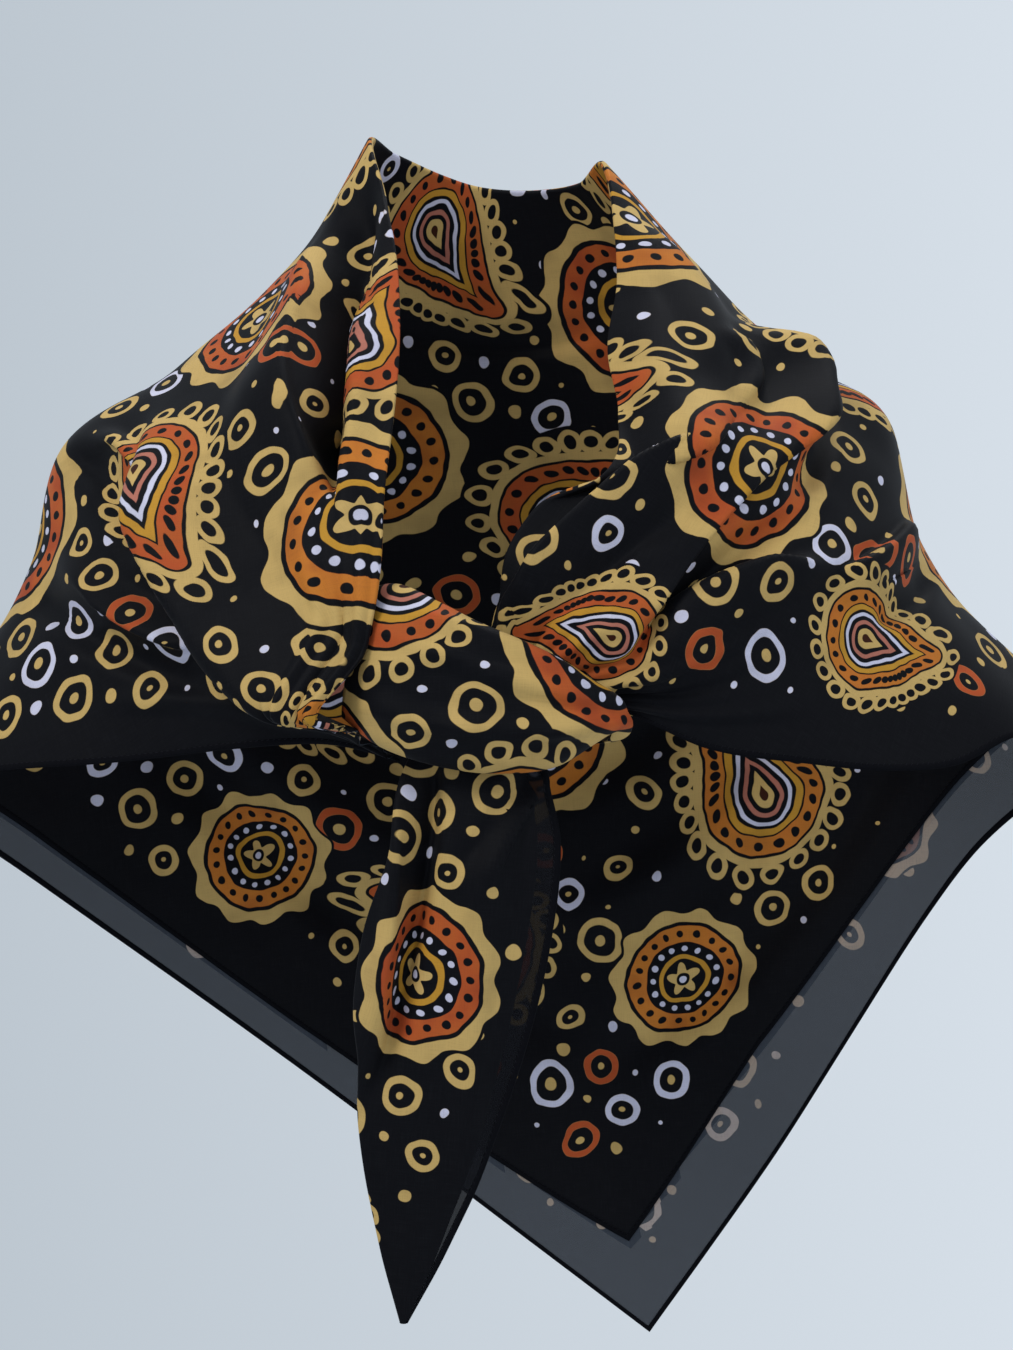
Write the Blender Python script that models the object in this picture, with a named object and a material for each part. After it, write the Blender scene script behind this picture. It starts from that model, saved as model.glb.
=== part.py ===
"""A printed square scarf, folded to a triangle, worn round the shoulders and tied at the chest.

Metres, +Z up. The wearer faces -Y and +X is on the viewer's right. The origin is the middle of the
neck at the height of the shoulders, where the wearer carries the cloth.

The cloth is one surface. It is lofted through sections that run from the folded diagonal, at the
neck, out to the hems, starting at the knot on the left, going round the back, and ending at the tip
of the hanging end. Creases and rolls are then pushed out of that surface, and each stretch is cut
from it as a thin wall.
"""
import math

import bpy
import numpy as np

# Walls
LAYER = 0.0010          # one layer of cloth
SEAM = 0.0003           # gap between two stretches, and between two layers
DOUBLE = 2 * LAYER + SEAM
HEM_WIDTH = 0.0035      # rolled hem, across
HEM_BEAD = 0.0005       # how far the rolled hem stands out of each side of its wall
BAND_WALL = 0.0018      # gathered strand over and behind the knot
SEAM_STEP = 0.0008      # seam along the loft, where sections fan out from the neck
FRONT_LENGTH = 0.30     # usual length of a section of the front, edge to hem
BACK_LENGTH = 0.45      # usual length of a section of the back
CURL = math.radians(98)  # how far a gathered strand curls behind at its edges
RUN_OUT = 0.4           # share of a crease's length over which it dies away at each end
FRONT_FADE = 0.030      # depth over which the creases of the front fade at the shoulders
BACK_FADE_START = 0.010
BACK_FADE = 0.050       # depth over which those of the back do

# How finely the walls are divided: runs of even steps, each with its start, its end and how many
LEFT_ALONG = (("left_knot", "left_breast", 7), ("left_breast", "left_throat", 11),
              ("left_throat", "left_shoulder", 8))
LEFT_ACROSS = ((0.0, 0.34, 14), (0.34, 0.54, 4), (0.54, 0.80, 9), (0.80, 1.0, 3))
RIGHT_ALONG = (("right_shoulder", "right_throat", 5), ("right_throat", "right_breast", 14),
               ("right_breast", "right_knot", 8))
RIGHT_ACROSS = ((0.0, 0.50, 15), (0.50, 0.84, 9), (0.84, 1.0, 3))
BACK_ALONG = (("left_shoulder", "centre", 10), ("centre", "right_shoulder", 10))
BACK_ACROSS = 12
BORDER_ACROSS = 3
TAIL_ALONG = 20
TAIL_ACROSS = 9
BAND_ALONG = 25
SHORT_ALONG = 16
STRAND_ACROSS = 13
NUDGE = 0.0005          # step for reading a surface's slope
TINY = 1e-12            # keeps a slope of no length from being divided by nothing

# How the sections are split: the folded edge, the neck, the slope and the point of the shoulder,
# the drop beside the arm, and the hem, each with its share of the way across
ACROSS = (0.0, 0.147, 0.367, 0.545, 0.689, 1.0)

# One row for each section: its places at edge, neck, slope, point, drop and hem
LEFT_SECTIONS = {
    "left_knot": ((-0.062, -0.150, -0.156), (-0.065, -0.147, -0.159), (-0.065, -0.143, -0.162),
                  (-0.060, -0.136, -0.166), (-0.053, -0.126, -0.171), (-0.042, -0.118, -0.177)),
    "left_gather": ((-0.050, -0.148, -0.097), (-0.063, -0.147, -0.107), (-0.075, -0.142, -0.122),
                    (-0.081, -0.136, -0.134), (-0.083, -0.129, -0.147), (-0.079, -0.118, -0.169)),
    "left_breast": ((-0.048, -0.128, -0.052), (-0.064, -0.136, -0.067), (-0.087, -0.133, -0.087),
                    (-0.104, -0.123, -0.107), (-0.112, -0.113, -0.128), (-0.117, -0.104, -0.171)),
    "left_chest": ((-0.044, -0.100, -0.009), (-0.064, -0.114, -0.031), (-0.092, -0.119, -0.061),
                   (-0.117, -0.109, -0.093), (-0.134, -0.099, -0.121), (-0.156, -0.090, -0.176)),
    "left_collar": ((-0.043, -0.072, 0.032), (-0.068, -0.097, 0.003), (-0.109, -0.102, -0.035),
                    (-0.144, -0.089, -0.069), (-0.166, -0.079, -0.102), (-0.195, -0.076, -0.180)),
    "left_throat": ((-0.046, -0.045, 0.069), (-0.074, -0.066, 0.035), (-0.122, -0.072, -0.011),
                    (-0.168, -0.062, -0.049), (-0.192, -0.056, -0.089), (-0.236, -0.058, -0.183)),
    "left_front_arm": ((-0.053, -0.020, 0.102), (-0.082, -0.034, 0.058), (-0.138, -0.038, 0.004),
                       (-0.194, -0.032, -0.035), (-0.212, -0.030, -0.086), (-0.270, -0.034, -0.187)),
}
BACK_SECTIONS = {
    "left_shoulder": ((-0.060, 0.005, 0.129), (-0.091, 0.002, 0.078), (-0.156, 0.002, 0.016),
                      (-0.215, 0.004, -0.026), (-0.230, 0.006, -0.082), (-0.299, 0.006, -0.189)),
    "left_blade": ((-0.049, 0.043, 0.130), (-0.082, 0.062, 0.075), (-0.135, 0.078, 0.015),
                   (-0.185, 0.085, -0.030), (-0.212, 0.092, -0.100), (-0.235, 0.092, -0.250)),
    "left_spine": ((-0.026, 0.066, 0.123), (-0.045, 0.088, 0.065), (-0.075, 0.110, -0.010),
                   (-0.105, 0.120, -0.085), (-0.120, 0.122, -0.175), (-0.105, 0.118, -0.347)),
    "centre": ((-0.002, 0.073, 0.117), (-0.005, 0.096, 0.058), (-0.008, 0.122, -0.035),
               (0.004, 0.132, -0.130), (0.028, 0.134, -0.240), (0.085, 0.130, -0.492)),
    "right_spine": ((0.022, 0.066, 0.115), (0.042, 0.090, 0.062), (0.074, 0.112, -0.010),
                    (0.104, 0.122, -0.085), (0.124, 0.124, -0.175), (0.150, 0.120, -0.398)),
    "right_blade": ((0.045, 0.042, 0.115), (0.078, 0.060, 0.075), (0.135, 0.078, 0.020),
                    (0.185, 0.085, -0.030), (0.212, 0.090, -0.100), (0.252, 0.080, -0.232)),
    "right_shoulder": ((0.056, 0.005, 0.117), (0.085, 0.002, 0.086), (0.150, 0.000, 0.021),
                       (0.199, 0.002, -0.012), (0.216, 0.005, -0.072), (0.308, 0.004, -0.171)),
}
RIGHT_SECTIONS = {
    "right_front_arm": ((0.060, -0.018, 0.090), (0.085, -0.040, 0.057), (0.143, -0.042, 0.001),
                        (0.191, -0.032, -0.033), (0.210, -0.028, -0.081), (0.280, -0.034, -0.167)),
    "right_throat": ((0.062, -0.040, 0.055), (0.085, -0.070, 0.027), (0.136, -0.075, -0.021),
                     (0.175, -0.064, -0.054), (0.198, -0.056, -0.092), (0.252, -0.060, -0.167)),
    "right_collar": ((0.057, -0.062, 0.018), (0.082, -0.098, -0.004), (0.123, -0.102, -0.046),
                     (0.156, -0.092, -0.074), (0.180, -0.080, -0.104), (0.221, -0.078, -0.180)),
    "right_chest": ((0.060, -0.088, -0.018), (0.079, -0.112, -0.040), (0.108, -0.116, -0.073),
                    (0.134, -0.108, -0.098), (0.153, -0.098, -0.121), (0.184, -0.094, -0.182)),
    "right_breast": ((0.036, -0.110, -0.043), (0.057, -0.122, -0.066), (0.084, -0.126, -0.096),
                     (0.107, -0.120, -0.117), (0.123, -0.112, -0.134), (0.145, -0.106, -0.178)),
    "right_gather": ((0.009, -0.122, -0.078), (0.025, -0.130, -0.099), (0.054, -0.133, -0.118),
                     (0.076, -0.129, -0.132), (0.088, -0.122, -0.144), (0.100, -0.116, -0.171)),
    "right_knot": ((0.001, -0.120, -0.121), (0.010, -0.124, -0.130), (0.022, -0.126, -0.138),
                   (0.036, -0.124, -0.145), (0.047, -0.119, -0.149), (0.057, -0.114, -0.153)),
}

# The hanging end, a row for each height: height, the folded edge's x and y, the hem's x and y, and
# how far the cloth between them stands forward
TAIL_HEIGHTS = (
    (-0.172, -0.036, -0.122, 0.026, -0.126, 0.008),
    (-0.215, -0.048, -0.130, 0.032, -0.132, 0.006),
    (-0.264, -0.060, -0.124, 0.027, -0.127, 0.006),
    (-0.311, -0.063, -0.117, 0.016, -0.119, 0.005),
    (-0.358, -0.060, -0.112, 0.000, -0.113, 0.004),
    (-0.406, -0.051, -0.108, -0.021, -0.109, 0.002),
    (-0.440, -0.042, -0.106, -0.039, -0.106, 0.000),
)

# The left end over the knot and down behind it, a row for each section: its lower edge, its middle
# and its upper edge. The short end starts behind the knot.
KNOT_SECTIONS = {
    "tucked": ((-0.067, -0.130, -0.157), (-0.064, -0.139, -0.130), (-0.056, -0.131, -0.098)),
    "rise": ((-0.053, -0.136, -0.168), (-0.0514, -0.1514, -0.135), (-0.044, -0.136, -0.096)),
    "swell": ((-0.022, -0.143, -0.179), (-0.022, -0.158, -0.145), (-0.022, -0.144, -0.105)),
    "crossing": ((0.005, -0.146, -0.182), (0.004, -0.162, -0.151), (0.001, -0.147, -0.117)),
    "narrowing": ((0.030, -0.143, -0.179), (0.028, -0.158, -0.155), (0.023, -0.144, -0.128)),
    "pull": ((0.049, -0.136, -0.168), (0.048, -0.147, -0.155), (0.043, -0.137, -0.140)),
    "turn": ((0.057, -0.127, -0.163), (0.0625, -0.134, -0.156), (0.056, -0.129, -0.149)),
    "under": ((0.056, -0.115, -0.168), (0.065, -0.117, -0.163), (0.056, -0.117, -0.158)),
    "behind": ((0.046, -0.106, -0.170), (0.048, -0.102, -0.163), (0.046, -0.106, -0.156)),
    "drop": ((0.018, -0.108, -0.180), (0.022, -0.104, -0.169), (0.026, -0.108, -0.158)),
    "hang": ((-0.014, -0.112, -0.190), (0.000, -0.109, -0.184), (0.014, -0.112, -0.176)),
    "fall": ((-0.024, -0.115, -0.216), (-0.004, -0.112, -0.214), (0.016, -0.115, -0.210)),
    "taper": ((-0.026, -0.111, -0.247), (-0.010, -0.109, -0.246), (0.006, -0.111, -0.245)),
    "tip": ((-0.013, -0.106, -0.276), (-0.011, -0.105, -0.276), (-0.009, -0.106, -0.276)),
}

# Creases and rolls, a row for each: the ends of its path as seen from the front (x, z, x, z), how
# far the path bows to its left, half width, height (a trough is negative), and how far its crest
# leans to the left of its path
LEFT_FOLDS = {
    "pouch": (-0.068, 0.105, -0.078, -0.040, 0.000, 0.019, -0.022, 0.000),
    "pouch_ridge": (-0.080, 0.092, -0.115, -0.025, 0.004, 0.022, 0.010, 0.000),
    "big_overlap": (-0.078, -0.156, -0.178, -0.045, 0.014, 0.021, 0.011, 0.014),
    "pinch": (-0.212, -0.024, -0.172, -0.075, 0.006, 0.011, -0.008, 0.000),
    "pinch_ridge": (-0.190, -0.020, -0.160, -0.065, 0.006, 0.010, 0.006, 0.000),
    "arm_ridge": (-0.205, -0.085, -0.130, -0.122, -0.006, 0.014, 0.008, 0.000),
    "arm_trough": (-0.225, -0.098, -0.140, -0.140, -0.004, 0.012, -0.006, 0.000),
}
RIGHT_FOLDS = {
    "cowl": (0.040, -0.030, 0.125, -0.006, -0.004, 0.019, 0.014, -0.017),
    "collar_roll": (0.078, 0.085, 0.112, 0.010, 0.004, 0.018, 0.008, 0.000),
    "nose": (0.130, 0.030, 0.142, -0.032, 0.010, 0.015, 0.010, 0.009),
    "strand_edge": (0.115, -0.026, 0.012, -0.112, -0.004, 0.013, 0.006, -0.007),
    "strand_trough": (0.146, -0.062, 0.072, -0.124, -0.006, 0.013, -0.009, 0.000),
    "lower_ridge": (0.160, -0.085, 0.078, -0.132, -0.006, 0.013, 0.007, 0.000),
    "shoulder_trough": (0.160, 0.000, 0.150, -0.050, 0.004, 0.012, -0.007, 0.000),
    "arm_ridge": (0.205, -0.070, 0.170, -0.096, 0.003, 0.012, 0.007, 0.000),
    "arm_trough": (0.215, -0.088, 0.185, -0.112, 0.003, 0.010, -0.006, 0.000),
}
BACK_FOLDS = {
    "left_swag": (-0.190, -0.060, 0.010, -0.210, -0.020, 0.026, 0.010, 0.000),
    "left_trough": (-0.200, -0.110, 0.020, -0.265, -0.020, 0.024, -0.008, 0.000),
    "left_low_swag": (-0.185, -0.165, 0.035, -0.330, -0.015, 0.024, 0.008, 0.000),
    "right_swag": (0.190, -0.060, 0.020, -0.200, 0.018, 0.026, 0.010, 0.000),
    "right_trough": (0.215, -0.105, 0.050, -0.270, 0.020, 0.024, -0.008, 0.000),
    "right_low_swag": (0.215, -0.165, 0.075, -0.340, 0.015, 0.022, 0.008, 0.000),
    "nape": (-0.060, 0.052, 0.062, 0.050, -0.010, 0.014, 0.007, -0.006),
}
TAIL_FOLDS = {
    "strip_trough": (-0.030, -0.180, -0.052, -0.325, 0.006, 0.011, -0.007, 0.000),
    "strip_ridge": (-0.042, -0.195, -0.060, -0.300, 0.004, 0.009, 0.005, 0.000),
    "hem_crease": (0.018, -0.182, -0.010, -0.222, 0.000, 0.008, -0.004, 0.000),
    "long_ridge": (0.004, -0.190, -0.010, -0.380, -0.004, 0.014, 0.004, 0.000),
}
BAND_FOLDS = {
    "upper_gather": (-0.045, -0.118, 0.045, -0.148, -0.003, 0.008, 0.003, 0.000),
    "lower_gather": (-0.050, -0.150, 0.048, -0.158, -0.008, 0.009, 0.003, 0.000),
}

# The inner hem stops short of the outer one, by this much of the section, along the back
INNER_HEM = {
    "left_shoulder": 0.045,
    "left_blade": 0.045,
    "left_spine": 0.045,
    "centre": 0.060,
    "right_spine": 0.085,
    "right_blade": 0.085,
    "right_shoulder": 0.085,
}
TAIL_HEM = 0.13          # how much of the hanging end's width its longer layer shows

# Colours
PRINT_GROUND = (0.018, 0.019, 0.026, 1.0)
SHEER_REVERSE = (0.045, 0.052, 0.062, 1.0)
ROUGHNESS = 0.62


def hermite(knots, values, places, corner=None):
    """Smooth curves through values at knots, read at places.

    values has a row for each knot, and in it one curve for all the places or one for each of them.
    corner is the (knot, column) where the curve turns sharply.
    """
    knots = np.asarray(knots, float)
    rest = (1,) * (values.ndim - 1)
    steps = np.diff(knots)
    slopes = np.diff(values, axis=0) / steps.reshape((-1,) + rest)
    before = np.concatenate([slopes[:1], slopes])
    after = np.concatenate([slopes, slopes[-1:]])
    step_before = np.concatenate([steps[:1], steps]).reshape((-1,) + rest)
    step_after = np.concatenate([steps, steps[-1:]]).reshape((-1,) + rest)
    leaving = (before * step_after + after * step_before) / (step_before + step_after)
    arriving = leaving.copy()
    if corner is not None:
        row, column = corner
        arriving[row, 0, column] = before[row, 0, column]
        leaving[row, 0, column] = after[row, 0, column]
    places = np.clip(places, knots[0], knots[-1])
    part = np.clip(np.searchsorted(knots, places, side="right") - 1, 0, len(steps) - 1)
    curve = np.arange(len(places)) if values.shape[1] > 1 else np.zeros(len(places), int)
    shape = (-1,) + (1,) * (values.ndim - 2)
    h = steps[part].reshape(shape)
    s = ((places - knots[part]) / steps[part]).reshape(shape)
    return ((2 * s**3 - 3 * s**2 + 1) * values[part, curve]
            + (s**3 - 2 * s**2 + s) * h * leaving[part, curve]
            + (3 * s**2 - 2 * s**3) * values[part + 1, curve]
            + (s**3 - s**2) * h * arriving[part + 1, curve])


def tail_section(height, fold_x, fold_y, hem_x, hem_y, forward):
    """The six places of a section across the hanging end."""
    across = np.array(ACROSS)
    x = fold_x + (hem_x - fold_x) * across
    y = fold_y + (hem_y - fold_y) * across - forward * np.sin(math.pi * across)
    return np.stack([x, y, np.full(len(across), height)], axis=1)


def loft_rows():
    """All sections in order, and where each lies along the loft."""
    named = {**LEFT_SECTIONS, **BACK_SECTIONS, **RIGHT_SECTIONS}
    rows = [np.array(row) for row in named.values()]
    rows += [tail_section(*row) for row in TAIL_HEIGHTS]
    steps = [np.linalg.norm(b - a, axis=1).mean() for a, b in zip(rows, rows[1:])]
    along = np.concatenate([[0.0], np.cumsum(steps)])
    return list(named), np.array(rows), along


NAMES, ROWS, ALONG = loft_rows()
APEX = (NAMES.index("centre"), len(ACROSS) - 1)


def place(name):
    """How far along the loft a named section lies."""
    return ALONG[NAMES.index(name)]


def plain(u, v):
    """Points of the plain surface at u along the loft and the share v across it."""
    control = hermite(ALONG, ROWS[:, None], u, APEX)
    return hermite(ACROSS, np.moveaxis(control, 1, 0), v)


def knot_rows():
    """The strand's sections as middles, half widths and crests, and where each lies along it."""
    lower, crest, upper = np.moveaxis(np.array(list(KNOT_SECTIONS.values())), 1, 0)
    along = np.concatenate([[0.0], np.cumsum(np.linalg.norm(np.diff(crest, axis=0), axis=1))])
    middle = (upper + lower) / 2
    return np.stack([middle, (upper - lower) / 2, crest - middle], axis=1), along


STRAND_ROWS, STRAND_ALONG = knot_rows()
SHORT_START = STRAND_ALONG[list(KNOT_SECTIONS).index("under")]


def gathered(u, v):
    """Points of the strand: each section is a half ellipse that curls behind at both edges."""
    middle, half, bulge = np.moveaxis(hermite(STRAND_ALONG, STRAND_ROWS[:, None], u), 1, 0)
    angle = (CURL * (2 * v - 1))[:, None]
    return middle + half * np.sin(angle) + bulge * np.cos(angle)


def outward(surface, u, v):
    """Outward normals of a surface."""
    along = surface(u + NUDGE, v) - surface(u - NUDGE, v)
    across = surface(u, np.minimum(v + NUDGE, 1.0)) - surface(u, np.maximum(v - NUDGE, 0.0))
    cross = np.cross(along, across)
    return cross / np.maximum(np.linalg.norm(cross, axis=1, keepdims=True), TINY)


def smooth_step(t):
    """0 to 1, flat at both ends."""
    t = np.clip(t, 0.0, 1.0)
    return t * t * (3 - 2 * t)


def rolls(points, normals, folds, strength):
    """How far creases and rolls push each point of a surface."""
    push = np.zeros_like(points)
    for x1, z1, x2, z2, bow, half_width, height, lean in folds.values():
        run = np.array([x2 - x1, z2 - z1])
        length = np.linalg.norm(run)
        run = run / length
        left = np.array([-run[1], run[0]])
        from_start = points[:, [0, 2]] - np.array([x1, z1])
        s = from_start @ run / length
        off = from_start @ left - bow * 4 * s * (1 - s)
        ends = smooth_step(s / RUN_OUT + 0.5) * smooth_step((1 - s) / RUN_OUT + 0.5)
        bump = np.cos(np.clip(off / half_width, -1, 1) * math.pi / 2) ** 2 * ends * strength
        push += bump[:, None] * (height * normals + lean * np.array([left[0], 0.0, left[1]]))
    return push


def on_front(points):
    """1 on the front, fading to 0 over the shoulders."""
    return smooth_step(-points[:, 1] / FRONT_FADE)


def on_back(points):
    """1 on the back, fading to 0 over the shoulders."""
    return smooth_step((points[:, 1] - BACK_FADE_START) / BACK_FADE)


def everywhere(points):
    """1 on all of a surface."""
    return 1.0


def folded(base, folds, where):
    """A surface with its creases and rolls, as a function of u and v."""
    def surface(u, v):
        points = base(u, v)
        return points + rolls(points, outward(base, u, v), folds, where(points))
    return surface


def sample(surface, us, vs):
    """A grid of points and their normals; vs has a list of shares for each u, or one for all."""
    vs = np.broadcast_to(vs, (len(us), np.shape(vs)[-1]))
    u = np.repeat(us, vs.shape[1])
    points = surface(u, vs.ravel())
    normals = outward(surface, u, vs.ravel())
    return points.reshape(vs.shape + (3,)), normals.reshape(vs.shape + (3,))


def material(name, colour):
    """Matt cloth of one colour."""
    made = bpy.data.materials.new(name)
    made.use_nodes = True
    shader = made.node_tree.nodes["Principled BSDF"]
    shader.inputs["Base Color"].default_value = colour
    shader.inputs["Roughness"].default_value = ROUGHNESS
    shader.inputs["Metallic"].default_value = 0.0
    return made


def wall(name, grid, normals, outer, inner, colour):
    """A closed wall between two distances from a grid of points, which may differ across it."""
    rows, columns = grid.shape[:2]
    far = grid + normals * np.broadcast_to(outer, (rows, columns))[:, :, None]
    near = grid + normals * np.broadcast_to(inner, (rows, columns))[:, :, None]
    points = np.concatenate([far.reshape(-1, 3), near.reshape(-1, 3)])
    index = np.arange(rows * columns).reshape(rows, columns)
    under = index + rows * columns
    faces = []
    for i in range(rows - 1):
        for j in range(columns - 1):
            faces.append((index[i, j], index[i + 1, j], index[i + 1, j + 1], index[i, j + 1]))
            faces.append((under[i, j], under[i, j + 1], under[i + 1, j + 1], under[i + 1, j]))
    rim = ([(i, 0) for i in range(rows)] + [(rows - 1, j) for j in range(1, columns)]
           + [(i, columns - 1) for i in range(rows - 2, -1, -1)]
           + [(0, j) for j in range(columns - 2, 0, -1)])
    for a, b in zip(rim, rim[1:] + rim[:1]):
        faces.append((index[b], index[a], under[a], under[b]))
    mesh = bpy.data.meshes.new(name)
    mesh.from_pydata(points.tolist(), [], [tuple(int(k) for k in face) for face in faces])
    mesh.materials.append(material(name + "_cloth", colour))
    mesh.shade_smooth()
    made = bpy.data.objects.new(name, mesh)
    bpy.context.scene.collection.objects.link(made)
    return made


def runs(table, read=float):
    """Places in runs of even steps."""
    places = [read(table[0][0])]
    for start, end, count in table:
        places.extend(np.linspace(read(start), read(end), count + 1)[1:])
    return np.array(places)


def hemmed(shares, length):
    """Shares across with one more, the hem's width inside the last, on a section of that length."""
    return np.concatenate([shares[:-1], [shares[-1] - HEM_WIDTH / length, shares[-1]]])


def bead(columns):
    """How much the rolled hem, at the last two of the columns, stands out of its wall."""
    out = np.zeros(columns)
    out[-2:] = HEM_BEAD
    return out


def left_front():
    us = runs(LEFT_ALONG, place)
    us[-1] -= SEAM_STEP
    front("left_front", us, runs(LEFT_ACROSS), LEFT_FOLDS)


def right_front():
    us = runs(RIGHT_ALONG, place)
    us[0] += SEAM_STEP
    front("right_front", us, runs(RIGHT_ACROSS), RIGHT_FOLDS)


def front(name, us, shares, folds):
    """Both layers of one side of the front."""
    grid, normals = sample(folded(plain, folds, on_front), us, hemmed(shares, FRONT_LENGTH))
    half = DOUBLE / 2 + bead(grid.shape[1])
    wall(name, grid, normals, half, -half, PRINT_GROUND)


def back():
    """The two layers of the back; the inner one stops short."""
    us = runs(BACK_ALONG, place)
    stops = np.interp(us, [place(section) for section in INNER_HEM], list(INNER_HEM.values()))
    vs = []
    for stop in stops:
        inner = hemmed(np.linspace(0.0, 1 - stop, BACK_ACROSS), BACK_LENGTH)
        border = hemmed(np.linspace(1 - stop, 1.0, BORDER_ACROSS)[1:], BACK_LENGTH)
        vs.append(np.concatenate([inner, border]))
    grid, normals = sample(folded(plain, BACK_FOLDS, on_back), us, np.array(vs))
    outer_bead = bead(grid.shape[1])
    wall("back_outer", grid, normals, SEAM / 2 + LAYER + outer_bead, SEAM / 2 - outer_bead,
         SHEER_REVERSE)
    short = BACK_ACROSS + 1
    wall("back_inner", grid[:, :short], normals[:, :short], -SEAM / 2,
         -SEAM / 2 - LAYER - bead(short), PRINT_GROUND)


def tail():
    """The two layers of the hanging end; the one in front is wider than the one behind."""
    us = np.linspace(place("right_knot") + SEAM_STEP, ALONG[-1], TAIL_ALONG)
    vs = np.append(np.linspace(0.0, 1 - TAIL_HEM, TAIL_ACROSS), (1 - TAIL_HEM / 2, 1.0))
    grid, normals = sample(folded(plain, TAIL_FOLDS, everywhere), us, vs)
    wall("tail_outer", grid, normals, SEAM / 2 + LAYER, SEAM / 2, PRINT_GROUND)
    wall("tail_inner", grid[:, :TAIL_ACROSS], normals[:, :TAIL_ACROSS], -SEAM / 2,
         -SEAM / 2 - LAYER, PRINT_GROUND)


def strand(name, start, end, count):
    """A stretch of the gathered strand over and behind the knot."""
    us = np.linspace(start, end, count)
    surface = folded(gathered, BAND_FOLDS, everywhere)
    grid, normals = sample(surface, us, np.linspace(0.0, 1.0, STRAND_ACROSS))
    wall(name, grid, normals, BAND_WALL / 2, -BAND_WALL / 2, PRINT_GROUND)


def clear_scene():
    for old in list(bpy.data.objects):
        bpy.data.objects.remove(old, do_unlink=True)


def main():
    clear_scene()
    left_front()
    right_front()
    back()
    tail()
    strand("knot_band", 0.0, SHORT_START - SEAM / 2, BAND_ALONG)
    strand("short_end", SHORT_START + SEAM / 2, STRAND_ALONG[-1], SHORT_ALONG)


main()
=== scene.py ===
"""The looks of a printed square scarf, folded to a triangle, worn round the shoulders and tied.

Metres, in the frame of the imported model: +Z up, the wearer faces -Y, +X is on the viewer's right.
The cloth is drawn again from the sections and creases of its solids, finer, and with its smaller
creases, its two layers, its rolled hems, its weave and its print.
"""
import math

import bpy
import numpy as np
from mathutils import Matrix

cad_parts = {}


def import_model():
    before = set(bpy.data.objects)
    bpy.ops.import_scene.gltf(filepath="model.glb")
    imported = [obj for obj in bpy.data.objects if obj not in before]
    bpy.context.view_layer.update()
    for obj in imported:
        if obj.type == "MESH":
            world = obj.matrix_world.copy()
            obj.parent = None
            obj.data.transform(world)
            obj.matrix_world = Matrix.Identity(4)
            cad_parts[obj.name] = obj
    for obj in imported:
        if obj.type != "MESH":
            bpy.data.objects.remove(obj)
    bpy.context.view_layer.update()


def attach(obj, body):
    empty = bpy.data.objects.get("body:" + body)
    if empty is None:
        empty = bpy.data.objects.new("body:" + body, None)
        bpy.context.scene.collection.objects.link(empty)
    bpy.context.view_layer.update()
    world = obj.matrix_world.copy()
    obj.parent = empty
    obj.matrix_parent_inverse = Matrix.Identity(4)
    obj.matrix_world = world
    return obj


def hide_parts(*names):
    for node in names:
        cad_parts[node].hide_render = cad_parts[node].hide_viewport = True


# Camera
VIEW_FROM = (0.0078, -1.6, -0.1375)
LENS_MM = 85.33
SENSOR_MM = 36.0

# Studio
FLOOR_HEIGHT = -1.40
FLOOR_RADIUS = 4.1
FLOOR_CORNERS = 96
FLOOR_ROUGHNESS = 0.8
FLOOR_COLOUR = (0.60, 0.64, 0.69, 1.0)
SKY_LEFT = (0.50, 0.56, 0.62, 1.0)
SKY_RIGHT = (0.68, 0.745, 0.815, 1.0)
SKY_STRENGTH = 1.0
SKY_SPREAD = 0.18                      # half the width over which its colour changes
# One row for each softbox: where it stands, what it faces, its width and height, watts, colour
SOFTBOXES = {
    "key": ((-1.5, -1.7, 1.7), (0.0, 0.0, -0.15), (0.9, 0.9), 34.0, (1.0, 0.98, 0.95)),
    "fill": ((1.9, -1.8, 0.3), (0.0, 0.0, -0.2), (1.4, 1.4), 5.0, (0.94, 0.97, 1.0)),
    "top": ((0.3, 0.8, 1.9), (0.0, 0.0, 0.0), (1.4, 0.8), 16.0, (1.0, 1.0, 1.0)),
}

# Cloth
SQUARE = 1.05                          # side of the square
HALF_DIAGONAL = SQUARE / math.sqrt(2)
CLOTH = 0.00035                        # thickness of a layer
FOLD_PUFF = 0.0011                     # half the gap inside the soft fold
FOLD_RUN = 0.020                       # how far from the fold the gap closes
FOLD_ROUND = 0.0016                    # how far from its edge the fold is rounded
LAYERS_APART = 0.00025                 # half the gap between the layers elsewhere
CURL = math.radians(98)                # how far a gathered strand curls behind at its edges
RUN_OUT = 0.4                          # share of a crease over which it dies away at each end
FRONT_FADE = 0.030                     # how far behind the shoulder the front's creases set in
BACK_START = 0.010                     # where the back's creases set in,
BACK_FADE = 0.050                      # and over what depth
LEAST_FAR = 0.00006                    # at the fold's very edge the faces of a layer stay apart
LEAST_NEAR = 0.00002
NUDGE = 0.0005                         # step for reading a surface's slope
TINY = 1e-12                           # keeps a slope of no length from being divided by nothing

# Grids: rows along and across
WORN_ALONG = 330
WORN_ACROSS = 128
TAIL_ALONG = 110
TAIL_ACROSS = 40
STRAND_ACROSS = 44
BAND_ALONG = 90
SHORT_ALONG = 60
TAIL_START_GAP = 0.0008
EDGE_SHARES = (0.0, 0.0006, 0.0018, 0.0036, 0.007, 0.012)
WORN_FIRST = 0.018                     # share across where the even columns start
TAIL_FIRST = 0.03

# How the sections are split: the folded edge, the neck, the slope and the point of the shoulder,
# the drop beside the arm, and the hem, each with its share of the way across
ACROSS = (0.0, 0.147, 0.367, 0.545, 0.689, 1.0)

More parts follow.
